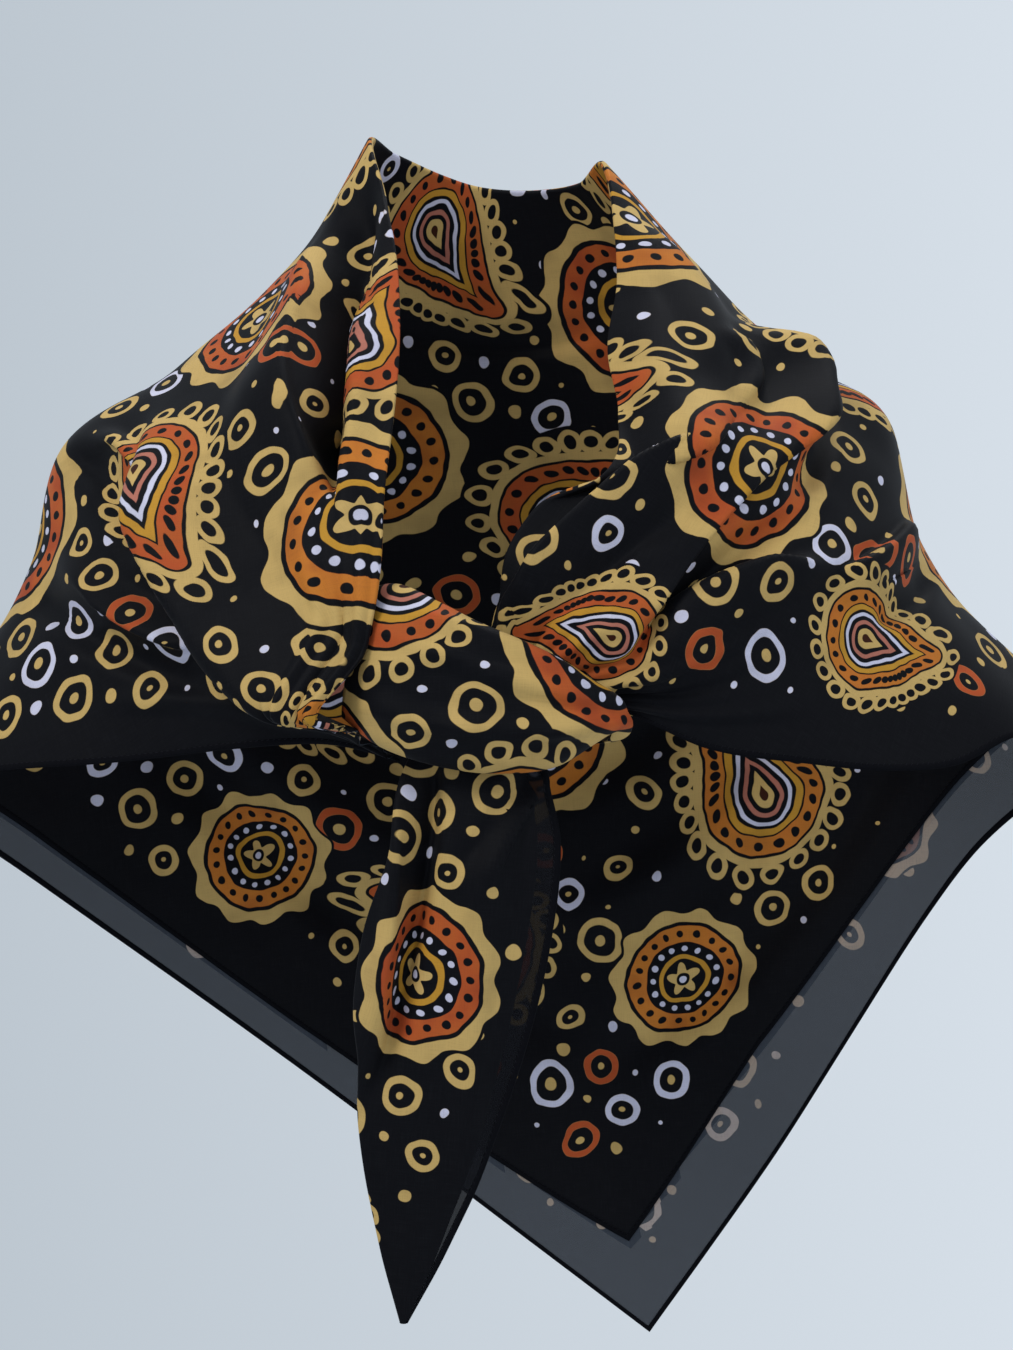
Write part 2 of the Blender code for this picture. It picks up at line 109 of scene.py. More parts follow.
# One row for each section: its places at edge, neck, slope, point, drop and hem
LEFT_SECTIONS = {
    "left_knot": ((-0.062, -0.150, -0.156), (-0.065, -0.147, -0.159), (-0.065, -0.143, -0.162),
                  (-0.060, -0.136, -0.166), (-0.053, -0.126, -0.171), (-0.042, -0.118, -0.177)),
    "left_gather": ((-0.050, -0.148, -0.097), (-0.063, -0.147, -0.107), (-0.075, -0.142, -0.122),
                    (-0.081, -0.136, -0.134), (-0.083, -0.129, -0.147), (-0.079, -0.118, -0.169)),
    "left_breast": ((-0.048, -0.128, -0.052), (-0.064, -0.136, -0.067), (-0.087, -0.133, -0.087),
                    (-0.104, -0.123, -0.107), (-0.112, -0.113, -0.128), (-0.117, -0.104, -0.171)),
    "left_chest": ((-0.044, -0.100, -0.009), (-0.064, -0.114, -0.031), (-0.092, -0.119, -0.061),
                   (-0.117, -0.109, -0.093), (-0.134, -0.099, -0.121), (-0.156, -0.090, -0.176)),
    "left_collar": ((-0.043, -0.072, 0.032), (-0.068, -0.097, 0.003), (-0.109, -0.102, -0.035),
                    (-0.144, -0.089, -0.069), (-0.166, -0.079, -0.102), (-0.195, -0.076, -0.180)),
    "left_throat": ((-0.046, -0.045, 0.069), (-0.074, -0.066, 0.035), (-0.122, -0.072, -0.011),
                    (-0.168, -0.062, -0.049), (-0.192, -0.056, -0.089), (-0.236, -0.058, -0.183)),
    "left_front_arm": ((-0.053, -0.020, 0.102), (-0.082, -0.034, 0.058), (-0.138, -0.038, 0.004),
                       (-0.194, -0.032, -0.035), (-0.212, -0.030, -0.086), (-0.270, -0.034, -0.187)),
}
BACK_SECTIONS = {
    "left_shoulder": ((-0.060, 0.005, 0.129), (-0.091, 0.002, 0.078), (-0.156, 0.002, 0.016),
                      (-0.215, 0.004, -0.026), (-0.230, 0.006, -0.082), (-0.299, 0.006, -0.189)),
    "left_blade": ((-0.049, 0.043, 0.130), (-0.082, 0.062, 0.075), (-0.135, 0.078, 0.015),
                   (-0.185, 0.085, -0.030), (-0.212, 0.092, -0.100), (-0.235, 0.092, -0.250)),
    "left_spine": ((-0.026, 0.066, 0.123), (-0.045, 0.088, 0.065), (-0.075, 0.110, -0.010),
                   (-0.105, 0.120, -0.085), (-0.120, 0.122, -0.175), (-0.105, 0.118, -0.347)),
    "centre": ((-0.002, 0.073, 0.117), (-0.005, 0.096, 0.058), (-0.008, 0.122, -0.035),
               (0.004, 0.132, -0.130), (0.028, 0.134, -0.240), (0.085, 0.130, -0.492)),
    "right_spine": ((0.022, 0.066, 0.115), (0.042, 0.090, 0.062), (0.074, 0.112, -0.010),
                    (0.104, 0.122, -0.085), (0.124, 0.124, -0.175), (0.150, 0.120, -0.398)),
    "right_blade": ((0.045, 0.042, 0.115), (0.078, 0.060, 0.075), (0.135, 0.078, 0.020),
                    (0.185, 0.085, -0.030), (0.212, 0.090, -0.100), (0.252, 0.080, -0.232)),
    "right_shoulder": ((0.056, 0.005, 0.117), (0.085, 0.002, 0.086), (0.150, 0.000, 0.021),
                       (0.199, 0.002, -0.012), (0.216, 0.005, -0.072), (0.308, 0.004, -0.171)),
}
RIGHT_SECTIONS = {
    "right_front_arm": ((0.060, -0.018, 0.090), (0.085, -0.040, 0.057), (0.143, -0.042, 0.001),
                        (0.191, -0.032, -0.033), (0.210, -0.028, -0.081), (0.280, -0.034, -0.167)),
    "right_throat": ((0.062, -0.040, 0.055), (0.085, -0.070, 0.027), (0.136, -0.075, -0.021),
                     (0.175, -0.064, -0.054), (0.198, -0.056, -0.092), (0.252, -0.060, -0.167)),
    "right_collar": ((0.057, -0.062, 0.018), (0.082, -0.098, -0.004), (0.123, -0.102, -0.046),
                     (0.156, -0.092, -0.074), (0.180, -0.080, -0.104), (0.221, -0.078, -0.180)),
    "right_chest": ((0.060, -0.088, -0.018), (0.079, -0.112, -0.040), (0.108, -0.116, -0.073),
                    (0.134, -0.108, -0.098), (0.153, -0.098, -0.121), (0.184, -0.094, -0.182)),
    "right_breast": ((0.036, -0.110, -0.043), (0.057, -0.122, -0.066), (0.084, -0.126, -0.096),
                     (0.107, -0.120, -0.117), (0.123, -0.112, -0.134), (0.145, -0.106, -0.178)),
    "right_gather": ((0.009, -0.122, -0.078), (0.025, -0.130, -0.099), (0.054, -0.133, -0.118),
                     (0.076, -0.129, -0.132), (0.088, -0.122, -0.144), (0.100, -0.116, -0.171)),
    "right_knot": ((0.001, -0.120, -0.121), (0.010, -0.124, -0.130), (0.022, -0.126, -0.138),
                   (0.036, -0.124, -0.145), (0.047, -0.119, -0.149), (0.057, -0.114, -0.153)),
}

# The hanging end, a row for each height: height, the folded edge's x and y, the hem's x and y, and
# how far the cloth between them stands forward
TAIL_HEIGHTS = (
    (-0.172, -0.036, -0.122, 0.026, -0.126, 0.008),
    (-0.215, -0.048, -0.130, 0.032, -0.132, 0.006),
    (-0.264, -0.060, -0.124, 0.027, -0.127, 0.006),
    (-0.311, -0.063, -0.117, 0.016, -0.119, 0.005),
    (-0.358, -0.060, -0.112, 0.000, -0.113, 0.004),
    (-0.406, -0.051, -0.108, -0.021, -0.109, 0.002),
    (-0.440, -0.042, -0.106, -0.039, -0.106, 0.000),
)

# The left end over the knot and down behind it, a row for each section: its lower edge, its middle
# and its upper edge. The short end starts behind the knot.
KNOT_SECTIONS = {
    "tucked": ((-0.067, -0.130, -0.157), (-0.064, -0.139, -0.130), (-0.056, -0.131, -0.098)),
    "rise": ((-0.053, -0.136, -0.168), (-0.0514, -0.1514, -0.135), (-0.044, -0.136, -0.096)),
    "swell": ((-0.022, -0.143, -0.179), (-0.022, -0.158, -0.145), (-0.022, -0.144, -0.105)),
    "crossing": ((0.005, -0.146, -0.182), (0.004, -0.162, -0.151), (0.001, -0.147, -0.117)),
    "narrowing": ((0.030, -0.143, -0.179), (0.028, -0.158, -0.155), (0.023, -0.144, -0.128)),
    "pull": ((0.049, -0.136, -0.168), (0.048, -0.147, -0.155), (0.043, -0.137, -0.140)),
    "turn": ((0.057, -0.127, -0.163), (0.0625, -0.134, -0.156), (0.056, -0.129, -0.149)),
    "under": ((0.056, -0.115, -0.168), (0.065, -0.117, -0.163), (0.056, -0.117, -0.158)),
    "behind": ((0.046, -0.106, -0.170), (0.048, -0.102, -0.163), (0.046, -0.106, -0.156)),
    "drop": ((0.018, -0.108, -0.180), (0.022, -0.104, -0.169), (0.026, -0.108, -0.158)),
    "hang": ((-0.014, -0.112, -0.190), (0.000, -0.109, -0.184), (0.014, -0.112, -0.176)),
    "fall": ((-0.024, -0.115, -0.216), (-0.004, -0.112, -0.214), (0.016, -0.115, -0.210)),
    "taper": ((-0.026, -0.111, -0.247), (-0.010, -0.109, -0.246), (0.006, -0.111, -0.245)),
    "tip": ((-0.013, -0.106, -0.276), (-0.011, -0.105, -0.276), (-0.009, -0.106, -0.276)),
}

# Creases and rolls, a row for each: the ends of its path as seen from the front (x, z, x, z), how
# far the path bows to its left, half width, height (a trough is negative), and how far its crest
# leans to the left of its path
LEFT_FOLDS = {
    "pouch": (-0.068, 0.105, -0.078, -0.040, 0.000, 0.019, -0.022, 0.000),
    "pouch_ridge": (-0.080, 0.092, -0.115, -0.025, 0.004, 0.022, 0.010, 0.000),
    "big_overlap": (-0.056, -0.150, -0.154, -0.025, 0.014, 0.021, 0.013, 0.028),
    "pinch": (-0.212, -0.024, -0.172, -0.075, 0.006, 0.011, -0.008, 0.000),
    "pinch_ridge": (-0.190, -0.020, -0.160, -0.065, 0.006, 0.010, 0.006, 0.000),
    "arm_ridge": (-0.205, -0.085, -0.130, -0.122, -0.006, 0.014, 0.008, 0.000),
    "arm_trough": (-0.225, -0.098, -0.140, -0.140, -0.004, 0.012, -0.006, 0.000),
}
RIGHT_FOLDS = {
    "cowl": (0.015, -0.042, 0.106, -0.012, -0.004, 0.019, 0.014, -0.016),
    "collar_roll": (0.078, 0.085, 0.112, 0.010, 0.004, 0.018, 0.008, 0.000),
    "nose": (0.130, 0.030, 0.142, -0.032, 0.010, 0.015, 0.010, 0.009),
    "strand_edge": (0.115, -0.026, 0.012, -0.112, -0.004, 0.013, 0.006, -0.007),
    "strand_trough": (0.146, -0.062, 0.072, -0.124, -0.006, 0.013, -0.009, 0.000),
    "lower_ridge": (0.160, -0.085, 0.078, -0.132, -0.006, 0.013, 0.007, 0.000),
    "shoulder_trough": (0.160, 0.000, 0.150, -0.050, 0.004, 0.012, -0.007, 0.000),
    "arm_ridge": (0.205, -0.070, 0.170, -0.096, 0.003, 0.012, 0.007, 0.000),
    "arm_trough": (0.215, -0.088, 0.185, -0.112, 0.003, 0.010, -0.006, 0.000),
}
BACK_FOLDS = {
    "left_swag": (-0.190, -0.060, 0.010, -0.210, -0.020, 0.026, 0.010, 0.000),
    "left_trough": (-0.200, -0.110, 0.020, -0.265, -0.020, 0.024, -0.008, 0.000),
    "left_low_swag": (-0.185, -0.165, 0.035, -0.330, -0.015, 0.024, 0.008, 0.000),
    "right_swag": (0.190, -0.060, 0.020, -0.200, 0.018, 0.026, 0.010, 0.000),
    "right_trough": (0.215, -0.105, 0.050, -0.270, 0.020, 0.024, -0.008, 0.000),
    "right_low_swag": (0.215, -0.165, 0.075, -0.340, 0.015, 0.022, 0.008, 0.000),
    "nape": (-0.060, 0.052, 0.062, 0.050, -0.010, 0.014, 0.007, -0.006),
}
TAIL_FOLDS = {
    "strip_trough": (-0.030, -0.180, -0.052, -0.325, 0.006, 0.011, -0.007, 0.000),
    "strip_ridge": (-0.042, -0.195, -0.060, -0.300, 0.004, 0.009, 0.005, 0.000),
    "hem_crease": (0.018, -0.182, -0.010, -0.222, 0.000, 0.008, -0.004, 0.000),
    "long_ridge": (0.004, -0.190, -0.010, -0.380, -0.004, 0.014, 0.004, 0.000),
}
BAND_FOLDS = {
    "upper_gather": (-0.045, -0.118, 0.045, -0.148, -0.003, 0.008, 0.003, 0.000),
    "lower_gather": (-0.050, -0.150, 0.048, -0.158, -0.008, 0.009, 0.003, 0.000),
}

# Sharper lips and hollows of the thin cloth, laid over the creases above, in the same columns
LEFT_LIPS = {
    "pouch_hollow": (-0.073, 0.050, -0.077, -0.040, 0.003, 0.015, -0.021, 0.000),
    "pouch_rim": (-0.090, 0.048, -0.080, -0.058, -0.016, 0.012, 0.007, 0.009),
    "pinch_lip": (-0.196, -0.028, -0.158, -0.078, 0.006, 0.010, 0.004, 0.009),
    "under_stripe": (-0.190, -0.092, -0.132, -0.120, -0.004, 0.010, 0.004, -0.006),
    "collar_edge": (-0.066, 0.052, -0.064, -0.056, 0.006, 0.009, 0.005, -0.006),
    "hem_gather": (-0.170, -0.150, -0.085, -0.158, 0.003, 0.008, 0.003, 0.000),
}
RIGHT_LIPS = {
    "cowl_lip": (0.030, -0.034, 0.096, -0.016, -0.004, 0.015, 0.005, -0.006),
    "nose_lip": (0.127, 0.024, 0.131, -0.030, 0.013, 0.011, 0.005, 0.007),
    "nose_inner": (0.114, 0.022, 0.121, -0.006, 0.006, 0.009, 0.004, 0.004),
    "strand_lip": (0.108, -0.034, 0.020, -0.106, -0.004, 0.011, 0.004, -0.008),
    "valley_lip": (0.148, -0.016, 0.060, -0.118, -0.008, 0.011, 0.004, 0.009),
    "low_lip": (0.146, -0.090, 0.078, -0.122, -0.006, 0.010, 0.005, -0.010),
    "arm_lip": (0.206, -0.068, 0.168, -0.094, 0.004, 0.010, 0.004, -0.007),
    "arm_lip_low": (0.213, -0.086, 0.180, -0.100, 0.004, 0.008, 0.003, -0.005),
    "strand_groove": (0.104, -0.050, 0.030, -0.112, -0.002, 0.007, -0.003, 0.000),
}

TAIL_LIPS = {
    "strip_lip": (-0.048, -0.200, -0.061, -0.322, 0.004, 0.010, 0.004, 0.005),
    "strip_hollow": (-0.026, -0.176, -0.050, -0.300, 0.006, 0.008, -0.006, 0.000),
    "hem_lip": (0.022, -0.186, -0.004, -0.232, -0.002, 0.007, 0.002, 0.004),
}
BAND_LIPS = {
    "top_roll": (-0.030, -0.112, 0.040, -0.140, 0.002, 0.007, 0.002, 0.002),
    "pull_upper": (0.018, -0.134, 0.064, -0.153, 0.002, 0.005, 0.0018, 0.000),
    "pull_middle": (0.012, -0.148, 0.064, -0.156, 0.000, 0.005, -0.0018, 0.000),
    "pull_lower": (0.016, -0.163, 0.064, -0.158, -0.002, 0.005, 0.0018, 0.000),
    "left_pull": (-0.058, -0.140, -0.010, -0.128, 0.003, 0.007, 0.0018, 0.000),
    "left_pull_low": (-0.058, -0.152, -0.004, -0.162, -0.003, 0.007, 0.0018, 0.000),
}

# Pleats that run into the knot, a row for each: the section where it dies away, its share of the
# way across there and at the knot, half width as a share, and height at the knot
LEFT_PLEATS = (
    ("left_collar", 0.10, 0.08, 0.050, 0.0030),
    ("left_chest", 0.22, 0.20, 0.045, -0.0030),
    ("left_collar", 0.36, 0.33, 0.055, 0.0035),
    ("left_chest", 0.50, 0.47, 0.050, -0.0030),
    ("left_collar", 0.62, 0.60, 0.045, 0.0030),
    ("left_chest", 0.74, 0.74, 0.050, -0.0025),
    ("left_breast", 0.88, 0.87, 0.050, 0.0020),
)
RIGHT_PLEATS = (
    ("right_chest", 0.09, 0.09, 0.045, 0.0025),
    ("right_collar", 0.20, 0.22, 0.045, -0.0030),
    ("right_throat", 0.32, 0.35, 0.050, 0.0035),
    ("right_collar", 0.46, 0.48, 0.045, -0.0035),
    ("right_throat", 0.58, 0.60, 0.045, 0.0030),
    ("right_chest", 0.70, 0.72, 0.045, -0.0030),
    ("right_collar", 0.82, 0.84, 0.050, 0.0025),
)

# How the print is unfolded, a row for each level: every so many grid lines, and how many rounds
UNFOLD_LEVELS = ((16, 500), (8, 400), (4, 250), (2, 120), (1, 60))
UNFOLD_STRIDE = 1.6

# Soft undulation of the thin cloth
UNDULATION = 0.0011
WAVES = 14
WAVE_LENGTHS = (0.035, 0.110)
WAVE_LEAN = (1.0, 0.4, 0.6)            # how readily a wave runs along each axis
SEED = 5

# The inner hem stops short of the outer one, by this much of the section
INNER_HEM = {
    "left_knot": 0.006,
    "left_front_arm": 0.012,
    "left_shoulder": 0.045,
    "left_blade": 0.045,
    "left_spine": 0.045,
    "centre": 0.060,
    "right_spine": 0.085,
    "right_blade": 0.085,
    "right_shoulder": 0.085,
    "right_front_arm": 0.012,
    "right_knot": 0.006,
}
TAIL_HEM = 0.13          # how much of the hanging end's width its longer layer shows

# Where each piece lies on the print, whose other half is mirrored at the fold
MIRRORED = (1.0, -1.0)
TAIL_SHIFT = (0.37, 0.03)
BAND_SHIFT = (-0.20, 0.09)
SHORT_SHIFT = (0.10, 0.25)

# One row for each sheet: the width and length of its cut, how it is held, and its flat area
SHEETS = {
    "worn_outer": ((1.10, 0.742), "draped", 0.46),
    "worn_inner": ((1.10, 0.70), "draped", 0.43),
    "tail_outer_cloth": ((0.28, 0.14), "hung", 0.024),
    "tail_inner_cloth": ((0.28, 0.14), "hung", 0.022),
    "band_cloth": ((0.16, 0.10), "gathered", 0.012),
    "short_end_cloth": ((0.14, 0.05), "gathered", 0.005),
}

# Rolled hem and its stitches
HEM_HALF_WIDTH = 0.0018
HEM_HALF_THICK = 0.0007
HEM_SIDES = 8
HEM_INSET = 0.6          # how far the roll lies inside the cloth's edge, in its half widths
STITCH_PITCH = 0.0030
STITCH_LENGTH = 0.0017
STITCH_RADIUS = 0.00014
STITCH_SLANT = math.radians(25)
STITCH_SIDES = 5
STITCH_INSET = 1.35      # how far in they lie, in half widths of the hem
STITCH_HEIGHT = 0.55     # and how far out, in its half thicknesses
# One row for each ring of a stitch: its place, as a share of its length, and its height, in radii
STITCH_RINGS = ((-0.5, -0.5), (-0.3, 0.4), (0.3, 0.4), (0.5, -0.5))
THREADS = {
    "hem_cloth": (0.0030, 0.0031, 0.0042, 1.0),
    "hem_thread": (0.010, 0.010, 0.013, 1.0),
}

# Print
GROUND = (0.0034, 0.0035, 0.0050, 1.0)
GOLD = (0.54, 0.360, 0.125, 1.0)
MUSTARD = (0.50, 0.250, 0.030, 1.0)
RUST = (0.43, 0.078, 0.022, 1.0)
AMBER = (0.52, 0.175, 0.026, 1.0)
LILAC = (0.58, 0.57, 0.70, 1.0)
PINK = (0.42, 0.150, 0.105, 1.0)
BROWN = (0.040, 0.011, 0.005, 1.0)
SHEER_GREY = (0.045, 0.054, 0.070, 1.0)
SLUB = (0.085, 0.100, 0.125, 1.0)
SHEEN_THREAD = (0.024, 0.025, 0.029, 1.0)
PALE_PRINT = (0.48, 0.37, 0.30, 1.0)    # a gold or lilac figure seen from the wrong side
PRINT_THROUGH = 0.20     # how strongly the print shows on the wrong side
BORDER = 0.014           # plain cloth inside the hem
LEAST_FIGURE = 0.50      # beside the hem a figure is smaller, down to this share of its size
GONE = 0.001             # the size of a figure that is left out
SURE = 0.98              # a ring or spot is drawn where its size is above this
LATTICE = 0.168          # from one large figure to the next of its kind
LATTICE_TURN = math.radians(24)
ROUND_REACH = 0.0490     # from the middle of a round figure to its edge
ROUND_ROOM = 0.0560      # and to the plain cloth inside the hem, at the least
DROP_ROOM = 0.0640       # the same for a drop
LOOP_REACH = 0.0110      # from the outline of a drop to the edge of its loops
DROP_BIG = 0.0360        # a drop's wide end
DROP_SMALL = 0.0100      # and its narrow one
DROP_REACH = 0.0560      # between the middles of the two
DROP_BEND = 5.0
RING_CLEAR = 0.0095      # between a large figure and the middle of a ring
RING_ROOM = 0.0110       # from the middle of a ring to the plain cloth inside the hem
SPOT_ROOM = 0.0020       # the same for a spot
RING_PITCH = 0.0300
RING_JITTER = 0.004
RING_SMALL = 0.0060      # radius of the smallest ring
RING_GROWTH = 0.0040     # how much larger the largest is
RING_LINE = 0.0017       # half the width of its line
RING_SQUASH = 0.30       # how much a ring may differ from round
SPOT_SMALL = 0.0012      # radius of the smallest spot
SPOT_GROWTH = 0.0024
SPOT_JITTER = 0.002
FIGURE_JITTER = 0.012
FIGURE_SQUASH = 0.24
WOBBLE = 0.007           # how far drawn lines stray
WOBBLE_SCALE = 45.0
NOISE_DETAIL = 2.0
TINTS = (0.72, 0.14)     # a ring whose chance is above the first is lilac, below the second rust
LILAC_SPOTS = 0.6        # the same for a spot, lilac above
RING_DOT = (0.0020, 0.0010)             # growth and least radius of the dot in a ring
# Parts of a round figure, by their distance from its middle
ROUND_WAVES = (11.0, 0.045)             # waves round the edge, and their height as a share
ROUND_HALO = 0.002                      # plain cloth round it
ROUND_INSIDE = 0.0405
ROUND_BAND = (0.0270, 0.0378)           # its inner and outer edge
ROUND_LINE = (0.0162, 0.0017)           # its middle and half width
STAR = (5.0, 0.0030, 0.0090)            # points, their height and their mean reach
STAR_HOLE = 0.0045
STAR_EYE = 0.0024
# Parts of a drop, by their distance from its outline, negative inside
DROP_TAIL = 0.3                         # how far a drop's wide end lies off the middle, as a share
DROP_HALO = 0.003                       # plain cloth round it
LOOP_LINE = (0.0046, 0.0014)            # radius and half width of a loop's line
DROP_RIM = (-0.0030, 0.0012)            # inner and outer edge of each band
DROP_BAND = (-0.0138, -0.0046)
DROP_INNER_BAND = (-0.0182, -0.0148)
DROP_LINES = ((LILAC, -0.0212, 0.0011), (PINK, -0.0262, 0.0012))
DROP_HEARTS = ((GOLD, -0.0300), (BROWN, -0.0335))
# Rings of beads: how many, where, and the radius of each, which for the loops LOOP_LINE gives
ROUND_DOTS = (19, 0.0325, 0.0024)
ROUND_BEADS = (15, 0.0225, 0.0021)
DROP_LOOPS = (24, 0.0062)
DROP_DOTS = (26, -0.0092, 0.0024)
# One row for each kind of figure: the side of the square cell that holds one, how far the cells
# are shifted, how far a figure may be moved from the middle of its cell, and its seed
CELLS = {
    "round": (LATTICE, LATTICE / 2, FIGURE_JITTER, 1.0),
    "drop": (LATTICE, 0.0, FIGURE_JITTER, 2.0),
    "ring": (RING_PITCH, 0.0, RING_JITTER, 3.0),
    "spot": (RING_PITCH, RING_PITCH / 2, SPOT_JITTER, 5.0),
}
# One row for each size that a cloth carries: the kind of figure, the room it needs, its least size
# beside the hem, and whether it is read at the middle of each ring's cell, to keep rings clear of it
SIZES = {
    "round_size": ("round", ROUND_ROOM, LEAST_FIGURE, False),
    "drop_size": ("drop", DROP_ROOM, LEAST_FIGURE, False),
    "ring_size": ("ring", RING_ROOM, 1.0, False),
    "spot_size": ("spot", SPOT_ROOM, 1.0, False),
    "round_by_ring": ("round", ROUND_ROOM, LEAST_FIGURE, True),
    "drop_by_ring": ("drop", DROP_ROOM, LEAST_FIGURE, True),
}
EDGE = 0.00035           # softness of a printed edge
DYE_RUN = 1.1            # how far the second colour of a figure runs into the first
DYE_STEP = 0.76
DYE_LEAST = 0.12
FADE_BELOW = 0.52        # where the dye is thin the ground shows through,
FADE = 0.9               # by this much
WEAVE_FINE = 2600.0      # threads across and along, a metre
WEAVE_LONG = 90.0
WEAVE_BUMP = (0.25, 0.0002)             # strength and depth
SHEEN_FROM = 0.95
SHEEN_GAIN = 0.35
SLUB_GAIN = 1.2
PALE_GAIN = 1.7          # how the pale figures of the wrong side grow from the print's brightness
PALE_MOST = 0.7
ROUGHNESS = 0.58
SPECULAR = 0.06
SHEEN = (0.02, 0.45)                    # weight and roughness
SHEER_ALPHA = 0.80
# One row for each material of the cloth, the last two where it lies single: whether it is the
# wrong side, and how dense it is
CLOTHS = {
    "print": (False, 1.0),
    "reverse": (True, 1.0),
    "print_single": (False, SHEER_ALPHA),
    "reverse_single": (True, SHEER_ALPHA),
}
SPECKLE = 900.0          # grain of the hem and its thread
SPECKLE_LIGHTER = 1.8
THREAD_BUMP = (0.3, 0.0003)
THREAD_ROUGHNESS = 0.8
THREAD_SPECULAR = 0.03


def hermite(knots, values, places, corner=None):
    """Smooth curves through values at knots, read at places.

    values has a row for each knot, and in it one curve for all the places or one for each of them.
    corner is the (knot, column) where the curve turns sharply.
    """
    knots = np.asarray(knots, float)
    rest = (1,) * (values.ndim - 1)
    steps = np.diff(knots)
    slopes = np.diff(values, axis=0) / steps.reshape((-1,) + rest)
    before = np.concatenate([slopes[:1], slopes])
    after = np.concatenate([slopes, slopes[-1:]])
    step_before = np.concatenate([steps[:1], steps]).reshape((-1,) + rest)
    step_after = np.concatenate([steps, steps[-1:]]).reshape((-1,) + rest)
    leaving = (before * step_after + after * step_before) / (step_before + step_after)
    arriving = leaving.copy()
    if corner is not None:
        row, column = corner
        arriving[row, 0, column] = before[row, 0, column]
        leaving[row, 0, column] = after[row, 0, column]
    places = np.clip(places, knots[0], knots[-1])
    part = np.clip(np.searchsorted(knots, places, side="right") - 1, 0, len(steps) - 1)
    curve = np.arange(len(places)) if values.shape[1] > 1 else np.zeros(len(places), int)
    shape = (-1,) + (1,) * (values.ndim - 2)
    h = steps[part].reshape(shape)
    s = ((places - knots[part]) / steps[part]).reshape(shape)
    return ((2 * s**3 - 3 * s**2 + 1) * values[part, curve]
            + (s**3 - 2 * s**2 + s) * h * leaving[part, curve]
            + (3 * s**2 - 2 * s**3) * values[part + 1, curve]
            + (s**3 - s**2) * h * arriving[part + 1, curve])


def tail_section(height, fold_x, fold_y, hem_x, hem_y, forward):
    """The six places of a section across the hanging end."""
    across = np.array(ACROSS)
    x = fold_x + (hem_x - fold_x) * across
    y = fold_y + (hem_y - fold_y) * across - forward * np.sin(math.pi * across)
    return np.stack([x, y, np.full(len(across), height)], axis=1)


def loft_rows():
    """All sections in order, and where each lies along the loft."""
    named = {**LEFT_SECTIONS, **BACK_SECTIONS, **RIGHT_SECTIONS}
    rows = [np.array(row) for row in named.values()]
    rows += [tail_section(*row) for row in TAIL_HEIGHTS]
    steps = [np.linalg.norm(b - a, axis=1).mean() for a, b in zip(rows, rows[1:])]
    along = np.concatenate([[0.0], np.cumsum(steps)])
    return list(named), np.array(rows), along


NAMES, ROWS, ALONG = loft_rows()
APEX = (NAMES.index("centre"), len(ACROSS) - 1)


def place(name):
    """How far along the loft a named section lies."""
    return ALONG[NAMES.index(name)]


def plain(u, v):
    """Points of the plain surface at u along the loft and the share v across it."""
    control = hermite(ALONG, ROWS[:, None], u, APEX)
    return hermite(ACROSS, np.moveaxis(control, 1, 0), v)


def knot_rows():
    """The strand's sections as middles, half widths and crests, and where each lies along it."""
    lower, crest, upper = np.moveaxis(np.array(list(KNOT_SECTIONS.values())), 1, 0)
    along = np.concatenate([[0.0], np.cumsum(np.linalg.norm(np.diff(crest, axis=0), axis=1))])
    middle = (upper + lower) / 2
    return np.stack([middle, (upper - lower) / 2, crest - middle], axis=1), along


STRAND_ROWS, STRAND_ALONG = knot_rows()
SHORT_START = STRAND_ALONG[list(KNOT_SECTIONS).index("under")]


def gathered(u, v):
    """Points of the strand: each section is a half ellipse that curls behind at both edges."""
    middle, half, bulge = np.moveaxis(hermite(STRAND_ALONG, STRAND_ROWS[:, None], u), 1, 0)
    angle = (CURL * (2 * v - 1))[:, None]
    return middle + half * np.sin(angle) + bulge * np.cos(angle)


def outward(surface, u, v):
    """Outward normals of a surface."""
    along = surface(u + NUDGE, v) - surface(u - NUDGE, v)
    across = surface(u, np.minimum(v + NUDGE, 1.0)) - surface(u, np.maximum(v - NUDGE, 0.0))
    cross = np.cross(along, across)
    return cross / np.maximum(np.linalg.norm(cross, axis=1, keepdims=True), TINY)


def smooth_step(t):
    """A soft step from 0 to 1."""
    t = np.clip(t, 0.0, 1.0)
    return t * t * (3 - 2 * t)


def rolls(points, normals, folds, strength=1.0):
    """How far creases and rolls push each point of a surface."""
    push = np.zeros_like(points)
    for x1, z1, x2, z2, bow, half_width, height, lean in folds.values():
        run = np.array([x2 - x1, z2 - z1])
        length = np.linalg.norm(run)
        run = run / length
        left = np.array([-run[1], run[0]])
        from_start = points[:, [0, 2]] - np.array([x1, z1])
        s = from_start @ run / length
        off = from_start @ left - bow * 4 * s * (1 - s)
        ends = smooth_step(s / RUN_OUT + 0.5) * smooth_step((1 - s) / RUN_OUT + 0.5)
        bump = np.cos(np.clip(off / half_width, -1, 1) * math.pi / 2) ** 2 * ends * strength
        push += bump[:, None] * (height * normals + lean * np.array([left[0], 0.0, left[1]]))
    return push


def pleats(u, v, knot, table):
    """How far the pleats that run into the knot stand out."""
    out = np.zeros_like(u)
    for section, far_share, knot_share, half_width, height in table:
        reach = abs(place(section) - place(knot))
        near = 1 - np.clip(np.abs(u - place(knot)) / reach, 0, 1)
        middle = far_share + (knot_share - far_share) * near
        bump = np.cos(np.clip((v - middle) / half_width, -1, 1) * math.pi / 2) ** 2
        out += height * smooth_step(near) * bump
    return out


